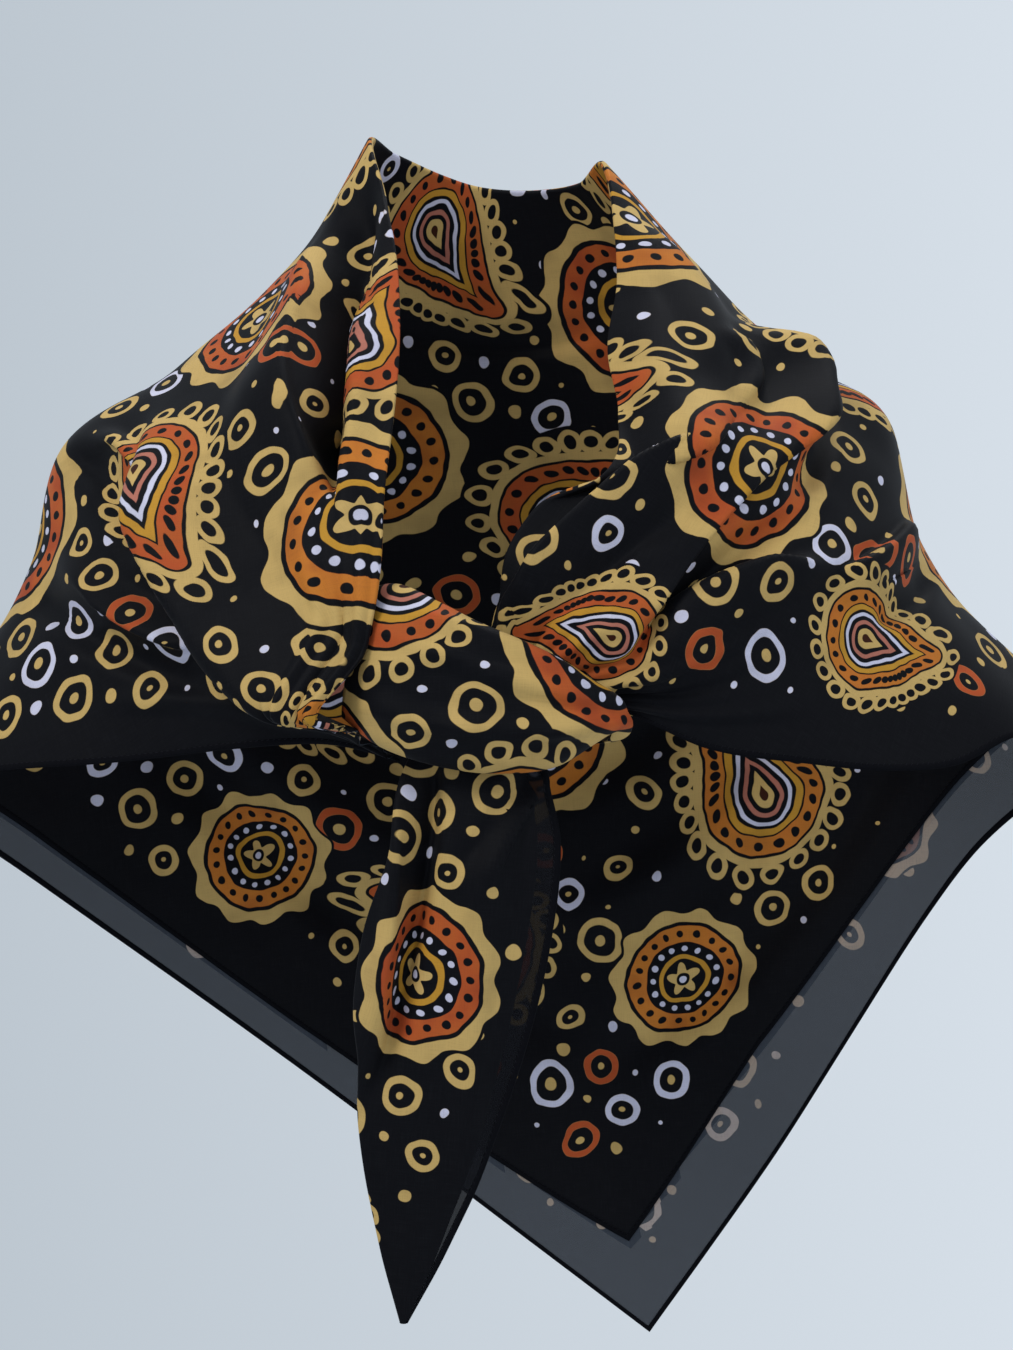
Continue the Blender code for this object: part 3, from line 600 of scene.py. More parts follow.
def undulation(points):
    """Slow, soft waves of the thin cloth."""
    chance = np.random.default_rng(SEED)
    out = np.zeros(len(points))
    for _ in range(WAVES):
        direction = chance.normal(size=3) * WAVE_LEAN
        length = chance.uniform(*WAVE_LENGTHS)
        wave = direction / np.linalg.norm(direction) * 2 * math.pi / length
        out += np.sin(points @ wave + chance.uniform(0, 2 * math.pi)) * length / WAVE_LENGTHS[1]
    return out * UNDULATION / math.sqrt(WAVES)


def worn(u, v):
    """The stretch that is worn, with its creases, pleats and undulation."""
    points = plain(u, v)
    normals = outward(plain, u, v)
    front = smooth_step(-points[:, 1] / FRONT_FADE)
    back = smooth_step((points[:, 1] - BACK_START) / BACK_FADE)
    push = rolls(points, normals, BACK_FOLDS, back)
    for folds in (LEFT_FOLDS, RIGHT_FOLDS, LEFT_LIPS, RIGHT_LIPS):
        push += rolls(points, normals, folds, front)
    out = pleats(u, v, "left_knot", LEFT_PLEATS) + pleats(u, v, "right_knot", RIGHT_PLEATS)
    return points + push + (out + undulation(points))[:, None] * normals


def hanging(u, v):
    """The hanging end, with its creases and undulation."""
    points = plain(u, v)
    normals = outward(plain, u, v)
    push = rolls(points, normals, {**TAIL_FOLDS, **TAIL_LIPS})
    return points + push + undulation(points)[:, None] * normals


def wound(u, v):
    """The strand over and behind the knot, with its creases."""
    points = gathered(u, v)
    return points + rolls(points, outward(gathered, u, v), {**BAND_FOLDS, **BAND_LIPS})


def sample(surface, us, vs):
    """A grid of points of a surface; vs has a list of shares for each u, or one for all."""
    vs = np.broadcast_to(vs, (len(us), np.shape(vs)[-1]))
    return surface(np.repeat(us, vs.shape[1]), vs.ravel()).reshape(vs.shape + (3,))


def grid_normals(grid):
    """Outward normals of a grid of points."""
    cross = np.cross(np.gradient(grid, axis=0), np.gradient(grid, axis=1))
    return cross / np.maximum(np.linalg.norm(cross, axis=2, keepdims=True), TINY)


def lengths_along(points):
    """Running length of a line of points."""
    return np.concatenate([[0.0], np.cumsum(np.linalg.norm(np.diff(points, axis=0), axis=1))])


def lengths_across(grid):
    """Running length of each row of a grid."""
    return np.stack([lengths_along(row) for row in grid])


def new_object(name, data):
    """An object of the scene, with its data."""
    made = bpy.data.objects.new(name, data)
    bpy.context.scene.collection.objects.link(made)
    return made


def add_camera():
    """The camera, level and straight in front."""
    data = bpy.data.cameras.new("camera")
    data.lens = LENS_MM
    data.sensor_width = SENSOR_MM
    camera = new_object("camera", data)
    camera.location = VIEW_FROM
    camera.rotation_euler = (math.radians(90), 0, 0)
    bpy.context.scene.camera = camera


def add_floor():
    """A round floor far below."""
    mesh = bpy.data.meshes.new("floor")
    turns = [2 * math.pi * k / FLOOR_CORNERS for k in range(FLOOR_CORNERS)]
    rim = [(FLOOR_RADIUS * math.cos(t), FLOOR_RADIUS * math.sin(t), FLOOR_HEIGHT) for t in turns]
    mesh.from_pydata(rim, [], [tuple(range(FLOOR_CORNERS))])
    tree, shader = new_material("floor_paint")
    feed(tree, shader, {"Base Color": FLOOR_COLOUR, "Roughness": FLOOR_ROUGHNESS})
    mesh.materials.append(bpy.data.materials["floor_paint"])
    new_object("floor", mesh)


def add_softbox(name, stand, target, size, watts, colour):
    """A lamp with a rectangular face, turned to its target."""
    data = bpy.data.lights.new(name, "AREA")
    data.shape = "RECTANGLE"
    data.size = size[0]
    data.size_y = size[1]
    data.energy = watts
    data.color = colour
    box = new_object(name, data)
    box.location = stand
    aim = np.array(target) - np.array(stand)
    turn = math.atan2(aim[0], -aim[1])
    box.rotation_euler = (math.atan2(np.hypot(aim[0], aim[1]), -aim[2]), 0.0, turn + math.pi)


def add_sky():
    """Pale blue-grey studio wall all round, a little lighter on the viewer's right."""
    world = bpy.data.worlds.new("studio")
    bpy.context.scene.world = world
    world.use_nodes = True
    tree = world.node_tree
    where = new_node(tree, "TexCoord").outputs["Generated"]
    across = new_node(tree, "SeparateXYZ", {0: where}).outputs["X"]
    share = new_node(tree, "MapRange", {
        "Value": across, "From Min": -SKY_SPREAD, "From Max": SKY_SPREAD})
    colour = mixed(tree, share.outputs["Result"], SKY_LEFT, SKY_RIGHT)
    feed(tree, tree.nodes["Background"], {"Color": colour, "Strength": SKY_STRENGTH})


def feed(tree, node, inputs):
    """Set inputs of a node, each to a value of its own or from a socket of another node."""
    for slot, value in inputs.items():
        if isinstance(value, Number):
            value = value.socket
        if isinstance(value, bpy.types.NodeSocket):
            tree.links.new(value, node.inputs[slot])
        else:
            node.inputs[slot].default_value = value


def new_node(tree, kind, inputs=None, **settings):
    """A shader node with its settings and inputs."""
    node = tree.nodes.new("ShaderNode" + kind)
    for setting, value in settings.items():
        setattr(node, setting, value)
    feed(tree, node, inputs or {})
    return node


def mixed(tree, share, first, second):
    """One colour changed to a second by a share."""
    inputs = {"Factor": share, "A": first, "B": second}
    return new_node(tree, "Mix", inputs, data_type="RGBA").outputs["Result"]


def channels(tree, colour):
    """The three parts of a colour, as numbers."""
    return [Number(tree, part) for part in new_node(tree, "SeparateColor", {0: colour}).outputs]


class Number:
    """A number that differs over the cloth, worked out in shader nodes."""

    def __init__(self, tree, socket):
        self.tree = tree
        self.socket = socket

    def math(self, operation, *others):
        """The result of an operation on this number and others."""
        node = new_node(self.tree, "Math", dict(enumerate((self, *others))), operation=operation)
        return Number(self.tree, node.outputs[0])

    def constant(self, value):
        """A number that is the same all over the cloth."""
        return (self * 0.0) + value

    def __add__(self, other):
        return self.math("ADD", other)

    def __sub__(self, other):
        return self.math("SUBTRACT", other)

    def __rsub__(self, other):
        return self.math("MULTIPLY", -1.0).math("ADD", other)

    def __mul__(self, other):
        return self.math("MULTIPLY", other)

    def __truediv__(self, other):
        return self.math("DIVIDE", other)

    __radd__ = __add__
    __rmul__ = __mul__


def length_of(x, y):
    """Length of the vector (x, y)."""
    return (x * x + y * y).math("SQRT")


def inside(distance, limit):
    """1 where distance is under limit, with a soft edge."""
    share = (limit - distance) / EDGE + 0.5
    return share.math("MINIMUM", 1.0).math("MAXIMUM", 0.0)


def between(distance, low, high):
    """1 where distance lies between low and high, with soft edges."""
    return inside(distance, high) - inside(distance, low)


def near(distance, middle, half_width):
    """1 where distance is within half_width of middle."""
    return inside((distance - middle).math("ABSOLUTE"), half_width)


def chances(tree, column, row, seed):
    """Three numbers from 0 to 1 that differ from cell to cell."""
    cell = new_node(tree, "CombineXYZ", {0: column, 1: row, 2: seed}).outputs[0]
    return channels(tree, new_node(tree, "TexWhiteNoise", {"Vector": cell}).outputs["Color"])


def in_cell(tree, where, stray, pitch, shift, jitter, seed):
    """Place in a square cell, from a middle that is moved at random, and its three chances.

    stray is how far the hand-drawn lines stray there.
    """
    x, y = where
    column = ((x + shift) / pitch).math("FLOOR")
    row = ((y + shift) / pitch).math("FLOOR")
    first, second, third = chances(tree, column, row, seed)
    local_x = x + stray[0] + shift - (column + 0.5) * pitch - (first - 0.5) * jitter
    local_y = y + stray[1] + shift - (row + 0.5) * pitch - (second - 0.5) * jitter
    return local_x, local_y, first, second, third


def turned(x, y, angle):
    """A place turned by an angle."""
    cosine = angle.math("COSINE")
    sine = angle.math("SINE")
    return x * cosine + y * sine, y * cosine - x * sine


def beads(distance, angle, radius, count, middle):
    """Distance from the nearest of a ring of beads."""
    share = (angle * (count / (2 * math.pi))).math("FRACT") - 0.5
    return length_of(distance - middle, share * radius * (2 * math.pi / count))


def drop(x, y):
    """Signed distance from the outline of a curved drop, negative inside."""
    slope = (DROP_BIG - DROP_SMALL) / DROP_REACH
    side = math.sqrt(1 - slope * slope)
    y = y + DROP_REACH * DROP_TAIL
    x = (x + y * y * DROP_BEND).math("ABSOLUTE")
    along = y * side - x * slope
    past_start = along.math("GREATER_THAN", 0.0)
    past_end = along.math("GREATER_THAN", side * DROP_REACH)
    start = length_of(x, y) - DROP_BIG
    end = length_of(x, y - DROP_REACH) - DROP_SMALL
    flank = x * side + y * slope - DROP_BIG
    return start * (1.0 - past_start) + flank * (past_start - past_end) + end * past_end


class Inks:
    """Colours laid one over another."""

    def __init__(self, tree, ground):
        self.tree = tree
        self.colour = ground

    def lay(self, colour, mask):
        """Lay a colour over the others where mask is 1."""
        self.colour = mixed(self.tree, mask, self.colour, colour)


def figure_places(tree, where, stray, round_size, drop_size):
    """Distances from the nearest round figure and the nearest drop, with what else they need."""
    bx, by, stretch, _, round_swap = in_cell(tree, where, stray, *CELLS["round"])
    squash = (stretch - 0.5) * FIGURE_SQUASH + 1.0
    round_distance = length_of(bx, by * squash) / round_size
    ax, ay, tilt, _, drop_swap = in_cell(tree, where, stray, *CELLS["drop"])
    ax, ay = turned(ax / drop_size, ay / drop_size, tilt * (2 * math.pi))
    return (round_distance, by.math("ARCTAN2", bx), round_swap,
            drop(ax, ay), ay.math("ARCTAN2", ax), length_of(ax, ay), drop_swap)


def small_rings(tree, inks, where, stray, sizes):
    """Scattered rings and spots, left out where they would meet a larger figure or the hem."""
    px, py, size, tint, squash = in_cell(tree, where, stray, *CELLS["ring"])
    middle = (where[0] + stray[0] - px, where[1] + stray[1] - py)
    centre = figure_places(tree, middle, (0.0, 0.0), sizes["round_by_ring"], sizes["drop_by_ring"])
    clear = (inside(centre[0] * -1.0, -RING_CLEAR - ROUND_REACH)
             * inside(centre[3] * -1.0, -RING_CLEAR - LOOP_REACH)).math("GREATER_THAN", 0.5)
    clear = clear * sizes["ring_size"].math("GREATER_THAN", SURE)
    radius = size * RING_GROWTH + RING_SMALL
    distance = length_of(px, py * ((squash - 0.5) * RING_SQUASH + 1.0))
    ring = clear * near(distance, radius, RING_LINE)
    inks.lay(GOLD, ring)
    inks.lay(LILAC, ring * tint.math("GREATER_THAN", TINTS[0]))
    inks.lay(RUST, ring * tint.math("LESS_THAN", TINTS[1]))
    inks.lay(GOLD, clear * inside(distance, size * RING_DOT[0] + RING_DOT[1]))
    sx, sy, chance, tint, _ = in_cell(tree, where, stray, *CELLS["spot"])
    spot = inside(length_of(sx, sy), chance * SPOT_GROWTH + SPOT_SMALL)
    spot = spot * sizes["spot_size"].math("GREATER_THAN", SURE)
    inks.lay(GOLD, spot)
    inks.lay(LILAC, spot * tint.math("GREATER_THAN", LILAC_SPOTS))


def rosette(inks, distance, angle, swap):
    """A round figure of petals, rings and dots."""
    waves, height = ROUND_WAVES
    waved = distance * ((angle * waves).math("COSINE") * height + 1.0)
    inks.lay(GROUND, inside(waved, ROUND_REACH + ROUND_HALO))
    inks.lay(GOLD, inside(waved, ROUND_REACH))
    inks.lay(GROUND, inside(distance, ROUND_INSIDE))
    ring = between(distance, *ROUND_BAND)
    inks.lay(RUST, ring)
    inks.lay(AMBER, ring * swap)
    for colour, (count, middle, radius) in ((GROUND, ROUND_DOTS), (LILAC, ROUND_BEADS)):
        inks.lay(colour, inside(beads(distance, angle, distance, count, middle), radius))
    inks.lay(MUSTARD, near(distance, *ROUND_LINE))
    points, height, reach = STAR
    inks.lay(GOLD, inside(distance, (angle * points).math("COSINE") * height + reach))
    inks.lay(GROUND, inside(distance, STAR_HOLE))
    inks.lay(LILAC, inside(distance, STAR_EYE))


def paisley(inks, distance, angle, radius, swap):
    """A curved drop with a looped edge, a dotted band and lines within."""
    inks.lay(GROUND, inside(distance, LOOP_REACH + DROP_HALO))
    inks.lay(GOLD, near(beads(distance, angle, radius, *DROP_LOOPS), *LOOP_LINE))
    inks.lay(GOLD, between(distance, *DROP_RIM))
    band = between(distance, *DROP_BAND)
    inks.lay(AMBER, band)
    inks.lay(RUST, band * swap)
    count, middle, dot = DROP_DOTS
    inks.lay(GROUND, inside(beads(distance, angle, radius, count, middle), dot))
    inks.lay(MUSTARD, between(distance, *DROP_INNER_BAND))
    for colour, middle, half_width in DROP_LINES:
        inks.lay(colour, near(distance, middle, half_width))
    for colour, depth in DROP_HEARTS:
        inks.lay(colour, inside(distance, depth))


def dyed(chance, dye):
    """Share of the second of two colours, which runs a little into the first."""
    share = chance.math("GREATER_THAN", 0.5) * DYE_STEP + (dye - 0.5) * DYE_RUN + DYE_LEAST
    return share.math("MAXIMUM", 0.0).math("MINIMUM", 1.0)


def figures(tree, where, stray, sizes, dye):
    """The printed figures, as a colour socket."""
    inks = Inks(tree, GROUND)
    where = turned(*where, where[0].constant(LATTICE_TURN))
    small_rings(tree, inks, where, stray, sizes)
    (round_distance, round_angle, round_swap,
     drop_distance, drop_angle, drop_radius, drop_swap) = figure_places(
         tree, where, stray, sizes["round_size"], sizes["drop_size"])
    rosette(inks, round_distance, round_angle, dyed(round_swap, dye))
    paisley(inks, drop_distance, drop_angle, drop_radius, dyed(drop_swap, dye))
    inks.lay(GROUND, (FADE_BELOW - dye).math("MAXIMUM", 0.0) * FADE)
    return inks.colour


def noise(tree, coordinates, scale):
    """Soft random spots."""
    inputs = {"Vector": coordinates, "Scale": scale, "Detail": NOISE_DETAIL}
    return new_node(tree, "TexNoise", inputs).outputs


def thread_noise(tree, flat, scale):
    """Random streaks that are fine across the threads and long along them."""
    streaks = new_node(tree, "Mapping", {"Vector": flat, "Scale": scale}).outputs[0]
    return Number(tree, noise(tree, streaks, 1.0)["Fac"])


def attribute(tree, name):
    """A value that the mesh carries."""
    return Number(tree, new_node(tree, "Attribute", attribute_name=name).outputs["Fac"])


def raised(tree, height, strength, depth):
    """Bump from a height."""
    inputs = {"Height": height, "Strength": strength, "Distance": depth}
    return new_node(tree, "Bump", inputs).outputs[0]


def new_material(name):
    """The nodes and the shader of a new material."""
    made = bpy.data.materials.new(name)
    made.use_nodes = True
    return made.node_tree, made.node_tree.nodes["Principled BSDF"]


def cloth_material(name, wrong_side, alpha):
    """Printed voile: its figures, its slubs and its fine weave."""
    tree, shader = new_material(name)
    flat = new_node(tree, "UVMap", uv_map="flat").outputs[0]
    *hand, dye = channels(tree, noise(tree, flat, WOBBLE_SCALE)["Color"])
    stray = [(part - 0.5) * WOBBLE for part in hand]
    where = [Number(tree, part) for part in new_node(tree, "SeparateXYZ", {0: flat}).outputs[:2]]
    sizes = {name: attribute(tree, name) for name in SIZES}
    colour = figures(tree, where, stray, sizes, dye)
    threads = (thread_noise(tree, flat, (WEAVE_FINE, WEAVE_LONG, 1.0))
               + thread_noise(tree, flat, (WEAVE_LONG, WEAVE_FINE, 1.0)))
    inks = Inks(tree, colour)
    if wrong_side:
        light = channels(tree, colour)[1]
        inks = Inks(tree, SHEER_GREY)
        inks.lay(colour, threads.constant(PRINT_THROUGH))
        inks.lay(PALE_PRINT, (light * PALE_GAIN).math("MINIMUM", PALE_MOST))
        inks.lay(SLUB, (threads - 1.0).math("MAXIMUM", 0.0) * SLUB_GAIN)
    else:
        inks.lay(SHEEN_THREAD, (threads - SHEEN_FROM).math("MAXIMUM", 0.0) * SHEEN_GAIN)
    feed(tree, shader, {
        "Base Color": inks.colour,
        "Normal": raised(tree, threads, *WEAVE_BUMP),
        "Roughness": ROUGHNESS,
        "Specular IOR Level": SPECULAR,
        "Sheen Weight": SHEEN[0],
        "Sheen Roughness": SHEEN[1],
        "Alpha": alpha,
    })


def thread_material(name, colour):
    """Spun thread, a little speckled."""
    tree, shader = new_material(name)
    where = new_node(tree, "TexCoord").outputs["Object"]
    speckle = noise(tree, where, SPECKLE)["Fac"]
    lighter = tuple(c * SPECKLE_LIGHTER for c in colour[:3]) + (1.0,)
    feed(tree, shader, {
        "Base Color": mixed(tree, speckle, colour, lighter),
        "Normal": raised(tree, speckle, *THREAD_BUMP),
        "Roughness": THREAD_ROUGHNESS,
        "Specular IOR Level": THREAD_SPECULAR,
    })


def flat_lengths(grid):
    """First flat coordinates of a grid: its true lengths along and across, in metres."""
    along = np.linalg.norm(np.diff(grid, axis=0), axis=2).mean(axis=1)
    along = np.concatenate([[0.0], np.cumsum(along)])
    across = lengths_across(grid)
    return np.stack([np.broadcast_to(along[:, None], across.shape), across], axis=2)


def flat_triangle(grid, nape):
    """First flat coordinates of the worn stretch on the square, along its diagonal and from it."""
    fold = lengths_along(grid[:, 0])
    hem = lengths_along(grid[:, -1])
    fold = fold - fold[nape]
    hem = (hem - hem[nape]) / math.sqrt(2)
    start = np.stack([fold, np.zeros(len(fold))], axis=1)
    end = np.stack([hem, HALF_DIAGONAL - np.abs(hem)], axis=1)
    across = lengths_across(grid)
    share = across / across[:, -1:]
    return start[:, None] + (end - start)[:, None] * share[:, :, None]


def steps_of(grid):
    """Pairs of slices to the neighbours along, across and on both diagonals."""
    rows, columns = grid.shape[:2]
    for di, dj in ((1, 0), (0, 1), (1, 1), (1, -1)):
        one = (slice(0, rows - di), slice(max(0, -dj), columns - max(0, dj)))
        other = (slice(di, rows), slice(max(0, dj), columns - max(0, -dj)))
        yield one, other


def relaxed(flat, grid, rounds):
    """Flat coordinates moved until steps between them are as long as they are on the cloth."""
    pairs = [(a, b, np.linalg.norm(grid[b] - grid[a], axis=2)) for a, b in steps_of(grid)]
    count = np.zeros(grid.shape[:2])
    for a, b, length in pairs:
        count[a] += 1
        count[b] += 1
    for _ in range(rounds):
        move = np.zeros_like(flat)
        for a, b, length in pairs:
            gap = flat[b] - flat[a]
            now = np.maximum(np.linalg.norm(gap, axis=2), TINY)
            shift = (0.5 * (1 - length / now))[:, :, None] * gap
            move[a] += shift
            move[b] -= shift
        flat = flat + UNFOLD_STRIDE * move / count[:, :, None]
    return flat


def thinned(count, step):
    """Every so many of a list of places, with the last one."""
    chosen = list(range(0, count - 1, step))
    return np.array(chosen + [count - 1])


def spread(values, rows, columns, shape):
    """Values at some rows and columns of a grid, spread evenly over the whole of it."""
    every_row = np.arange(shape[0])
    every_column = np.arange(shape[1])
    out = np.empty(shape)
    for k in range(shape[2]):
        tall = np.stack([np.interp(every_row, rows, line) for line in values[:, :, k].T])
        out[:, :, k] = np.stack([np.interp(every_column, columns, line) for line in tall.T])
    return out


def true_to_size(flat, grid):
    """Flat coordinates of a grid that keep the print's size, worked out coarse to fine."""
    for step, rounds in UNFOLD_LEVELS:
        rows = thinned(grid.shape[0], step)
        columns = thinned(grid.shape[1], step)
        chosen = np.ix_(rows, columns)
        moved = relaxed(flat[chosen], grid[chosen], rounds) - flat[chosen]
        flat = flat + spread(moved, rows, columns, flat.shape)
    return flat


def figure_sizes(flat, kind, room, least, by_ring):
    """How large the figure of each place's cell is, so that it stays clear of the hem."""
    pitch, shift = CELLS[kind][:2]
    turn = np.array([[math.cos(LATTICE_TURN), -math.sin(LATTICE_TURN)],
                     [math.sin(LATTICE_TURN), math.cos(LATTICE_TURN)]])
    places = flat @ turn
    hem = places[:, -1]
    inward = places[:, -3] - hem
    if by_ring:
        places = (np.floor(places / RING_PITCH) + 0.5) * RING_PITCH
    cells = np.floor((places + shift) / pitch)
    sizes = np.ones(flat.shape[:2])
    for cell in np.unique(cells.reshape(-1, 2), axis=0):
        ways = (cell + 0.5) * pitch - shift - hem
        distance = np.linalg.norm(ways, axis=1)
        nearest = np.argmin(distance)
        side = np.sign(ways[nearest] @ inward[nearest])
        size = min(1.0, (side * distance[nearest] - BORDER) / room)
        sizes[(cells == cell).all(axis=2)] = size if size >= least else GONE
    return sizes


def add_print_values(mesh, flat, hemmed):
    """The size of each figure, on both faces of a cloth."""
    for name, row in SIZES.items():
        sizes = figure_sizes(flat, *row) if hemmed else np.ones(flat.shape[:2])
        layer = mesh.attributes.new(name, "FLOAT", "POINT")
        layer.data.foreach_set("value", np.concatenate([sizes.ravel()] * 2).astype(np.float32))


def shell_faces(rows, columns):
    """Faces of the outside, the wrong side and the rim of a shell, whose points are two grids."""
    index = np.arange(rows * columns).reshape(rows, columns)
    below = rows * columns
    a = index[:-1, :-1].ravel()
    b = index[1:, :-1].ravel()
    c = index[1:, 1:].ravel()
    d = index[:-1, 1:].ravel()
    rim = np.concatenate([index[:, 0], index[-1, 1:], index[-2::-1, -1], index[0, -2:0:-1]])
    after = np.roll(rim, -1)
    return (np.stack([a, b, c, d], axis=1), np.stack([a, d, c, b], axis=1) + below,
            np.stack([after, rim, rim + below, after + below], axis=1))


def shell(name, grid, far, near_side, flat, hemmed=True, sheer_from=None):
    """A thin closed layer of cloth between two distances from a grid, print outside.

    sheer_from is the column from which each row's cloth lies single.
    """
    normals = grid_normals(grid)
    rows, columns = grid.shape[:2]
    points = np.concatenate([
        (grid + normals * np.broadcast_to(off, (rows, columns))[:, :, None]).reshape(-1, 3)
        for off in (far, near_side)])
    outside, under, rim = shell_faces(rows, columns)
    mesh = bpy.data.meshes.new(name)
    mesh.from_pydata(points.tolist(), [], np.concatenate([outside, under, rim]).tolist())
    mesh.shade_smooth()
    single = np.zeros((rows - 1, columns - 1), bool)
    if sheer_from is not None:
        single[:] = np.arange(columns - 1)[None] >= np.asarray(sheer_from)[:-1, None]
    single = single.ravel()
    slots = np.concatenate([2 * single, 1 + 2 * single, np.zeros(len(rim), int)])
    mesh.polygons.foreach_set("material_index", slots.astype(np.int32))
    twice = np.concatenate([flat.reshape(-1, 2)] * 2)
    corners = np.empty(len(mesh.loops), np.int32)
    mesh.loops.foreach_get("vertex_index", corners)
    layer = mesh.uv_layers.new(name="flat")
    layer.data.foreach_set("uv", twice[corners].ravel().astype(np.float32))
    add_print_values(mesh, flat, hemmed)
    for material in CLOTHS:
        mesh.materials.append(bpy.data.materials[material])
    return new_object(name, mesh)


def gap_from_fold(distance):
    """How far the inside of a layer stands from the middle, at a distance from the fold."""
    gap = LAYERS_APART + FOLD_PUFF * np.exp(-distance / FOLD_RUN)
    rounding = np.clip(distance / FOLD_ROUND, 0, 1)
    return (gap + CLOTH) * np.sqrt(1 - (1 - rounding) ** 2)


def cloth_layer(name, grid, flat, sheer_from=None):
    """One of the two layers on either side of the middle surface."""
    far = np.maximum(gap_from_fold(lengths_across(grid)), LEAST_FAR)
    near_side = np.maximum(far - CLOTH, LEAST_NEAR)
    return shell(name, grid, far, near_side, flat, sheer_from=sheer_from)


def tube(points, wide, thick, half_width, half_thick, sides):
    """Rings of points round a line, and their faces, closed at both ends."""
    turns = 2 * math.pi * np.arange(sides) / sides
    rings = (points[:, None] + half_width * np.cos(turns)[None, :, None] * wide[:, None]
             + half_thick * np.sin(turns)[None, :, None] * thick[:, None])
    faces = []
    count = len(points)
    for i in range(count - 1):
        for k in range(sides):
            after = (k + 1) % sides
            faces.append((i * sides + k, i * sides + after, (i + 1) * sides + after,
                          (i + 1) * sides + k))
    faces.append(tuple(range(sides))[::-1])
    faces.append(tuple((count - 1) * sides + k for k in range(sides)))
    return rings.reshape(-1, 3), faces


def thread_object(name, points, faces, material):
    """An object of one of the thread materials."""
    mesh = bpy.data.meshes.new(name)
    mesh.from_pydata(points.tolist(), [], faces)
    mesh.shade_smooth()
    mesh.materials.append(bpy.data.materials[material])
    return new_object(name, mesh)


def hem_line(grid, inset, height):
    """A line beside a grid's last column, with the ways outwards and up from the cloth there."""
    normals = grid_normals(grid)[:, -1]
    outwards = grid[:, -1] - grid[:, -2]
    outwards /= np.maximum(np.linalg.norm(outwards, axis=1, keepdims=True), TINY)
    line = grid[:, -1] + normals * (LAYERS_APART + CLOTH / 2 + HEM_HALF_THICK * height)
    return line - outwards * HEM_HALF_WIDTH * inset, outwards, normals


def rolled_hem(name, grid):
    """A narrow roll along the last column of a grid."""
    middle, outwards, normals = hem_line(grid, HEM_INSET, 0.0)
    points, faces = tube(middle, outwards, normals, HEM_HALF_WIDTH, HEM_HALF_THICK, HEM_SIDES)
    return thread_object(name, points, faces, "hem_cloth")


def hem_stitches(name, grid):
    """Small slanted stitches along the inside edge of a rolled hem."""
    run = lengths_along(grid[:, -1])
    places = np.arange(STITCH_PITCH, run[-1] - STITCH_PITCH, STITCH_PITCH)
    middle, wide, thick = [
        np.stack([np.interp(places, run, part[:, k]) for k in range(3)], axis=1)
        for part in hem_line(grid, STITCH_INSET, STITCH_HEIGHT)]
    along = np.cross(wide, thick)
    lean = along * math.cos(STITCH_SLANT) + wide * math.sin(STITCH_SLANT)
    runs, heights = np.transpose(STITCH_RINGS)
    count = len(runs)
    points = []
    faces = []
    for centre, direction, up in zip(middle, lean, thick):
        across = np.cross(direction, up)
        line = centre + np.outer(runs, direction) * STITCH_LENGTH
        line += np.outer(heights, up) * STITCH_RADIUS
        ring, ring_faces = tube(line, np.repeat(across[None], count, 0),
                                np.repeat(up[None], count, 0),
                                STITCH_RADIUS, STITCH_RADIUS, STITCH_SIDES)
        first = len(points) * len(ring)
        faces += [tuple(int(k) + first for k in face) for face in ring_faces]
        points.append(ring)
    return thread_object(name, np.concatenate(points), faces, "hem_thread")


def hem_pieces(name, grid):
    """The rolled hem of a layer and its stitches."""
    return [rolled_hem(name + "_hem", grid), hem_stitches(name + "_stitches", grid)]


def add_sheet(piece, nodes, hem=()):
    """Put a sheet and its hem in the frame, in place of its nodes."""
    flat, held, area = SHEETS[piece.name]
    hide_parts(*nodes)
    for part, slot in [(piece, "print_cloth")] + [(edge, "hem_thread") for edge in hem]:
        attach(part, "root")


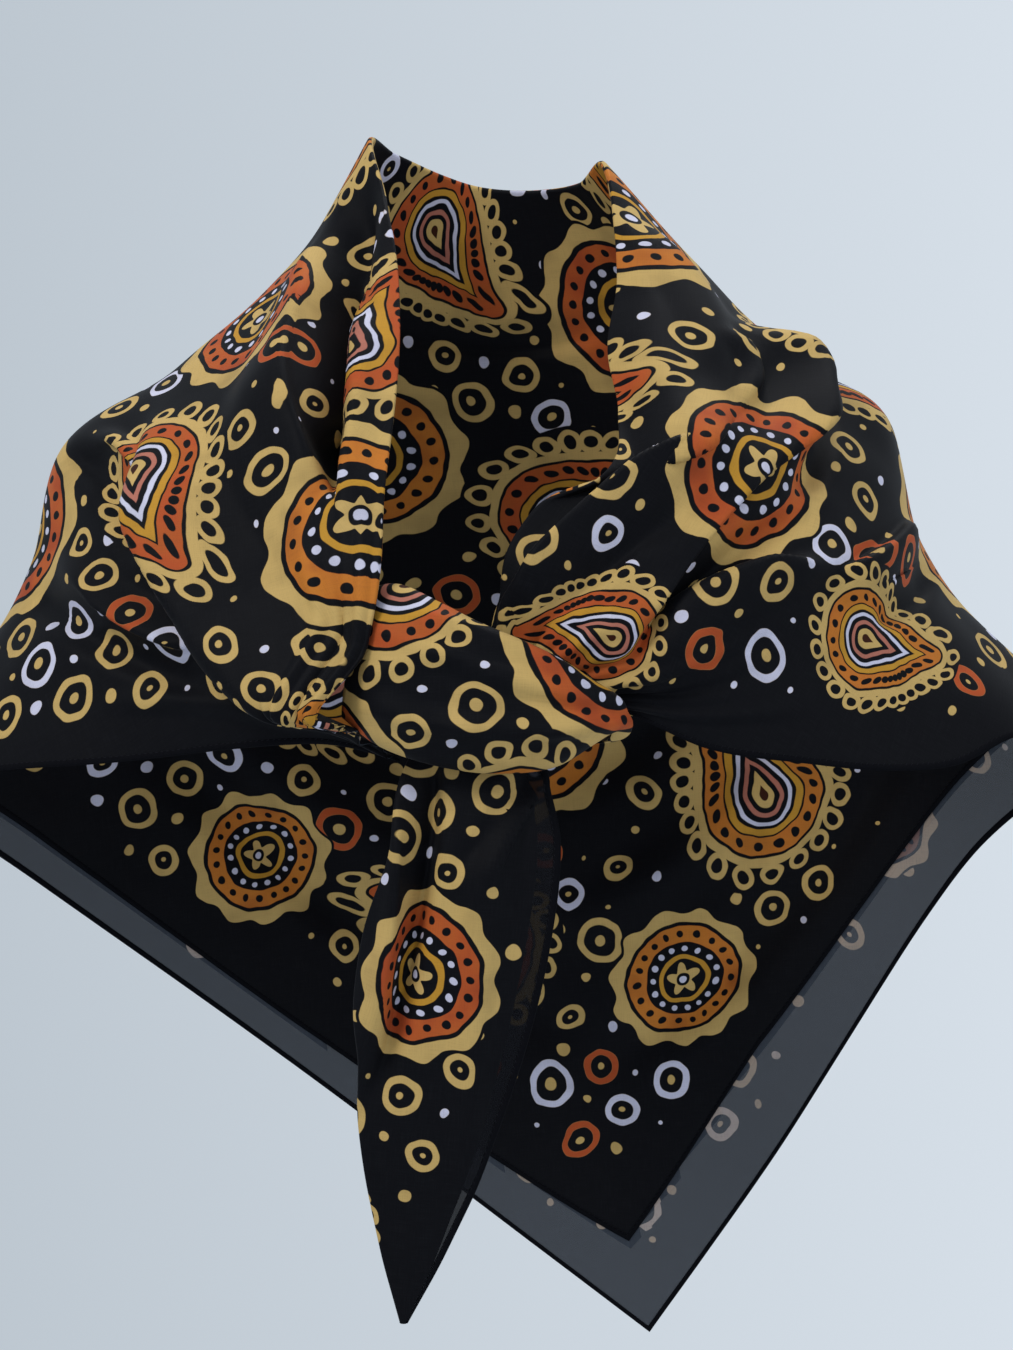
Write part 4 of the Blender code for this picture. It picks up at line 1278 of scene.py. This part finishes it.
def worn_layers():
    """The outer and inner layers from the knot, round the back, to the knot."""
    us = np.linspace(place("left_knot"), place("right_knot"), WORN_ALONG)
    nape = int(np.argmin(np.abs(us - place("centre"))))
    us[nape] = place("centre")
    shares = np.concatenate([EDGE_SHARES, np.linspace(WORN_FIRST, 1.0, WORN_ACROSS)])
    stops = np.interp(us, [place(section) for section in INNER_HEM], list(INNER_HEM.values()))
    grid = sample(worn, us, shares)
    flat = true_to_size(flat_triangle(grid, nape), grid)
    covered = (shares[None, :] < 1 - stops[:, None]).sum(axis=1)
    inner_shares = shares[None, :] * (1 - stops[:, None])
    inner_grid = sample(worn, us, inner_shares)[::-1]
    inner_flat = np.stack([
        np.stack([np.interp(places, shares, column) for column in row.T], axis=1)
        for places, row in zip(inner_shares, flat)]) * MIRRORED
    outer = cloth_layer("worn_outer", grid, flat, covered)
    inner = cloth_layer("worn_inner", inner_grid, inner_flat[::-1])
    add_sheet(outer, ("left_front", "right_front", "back_outer"),
              hem_pieces("worn_outer", grid))
    add_sheet(inner, ("back_inner",), hem_pieces("worn_inner", inner_grid))


def tail_layers():
    """The two layers of the hanging end."""
    us = np.linspace(place("right_knot") + TAIL_START_GAP, ALONG[-1], TAIL_ALONG)
    shares = np.concatenate([EDGE_SHARES, np.linspace(TAIL_FIRST, 1.0, TAIL_ACROSS)])
    long = sample(hanging, us, shares)
    short = sample(hanging, us, shares * (1 - TAIL_HEM))[::-1]
    flat = true_to_size(flat_lengths(long), long) + TAIL_SHIFT
    covered = np.full(len(us), (shares < 1 - TAIL_HEM).sum())
    outer = cloth_layer("tail_outer_cloth", long, flat, covered)
    inner = cloth_layer("tail_inner_cloth", short, (flat * MIRRORED)[::-1])
    add_sheet(outer, ("tail_outer",), hem_pieces("tail_outer", long))
    add_sheet(inner, ("tail_inner",), hem_pieces("tail_inner", short))


def strand_piece(name, node, start, end, count, shift):
    """A stretch of the gathered strand."""
    us = np.linspace(start, end, count)
    grid = sample(wound, us, np.linspace(0.0, 1.0, STRAND_ACROSS))
    flat = true_to_size(flat_lengths(grid), grid) + shift
    piece = shell(name, grid, CLOTH, -CLOTH, flat, hemmed=False)
    add_sheet(piece, (node,))


def main():
    """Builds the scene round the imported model."""
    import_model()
    bpy.context.scene.view_settings.view_transform = "Standard"
    add_camera()
    add_floor()
    add_sky()
    for name, row in SOFTBOXES.items():
        add_softbox(name, *row)
    for name, row in CLOTHS.items():
        cloth_material(name, *row)
    for name, colour in THREADS.items():
        thread_material(name, colour)
    worn_layers()
    tail_layers()
    strand_piece("band_cloth", "knot_band", 0.0, SHORT_START, BAND_ALONG, BAND_SHIFT)
    strand_piece("short_end_cloth", "short_end", SHORT_START, STRAND_ALONG[-1], SHORT_ALONG,
                 SHORT_SHIFT)


main()
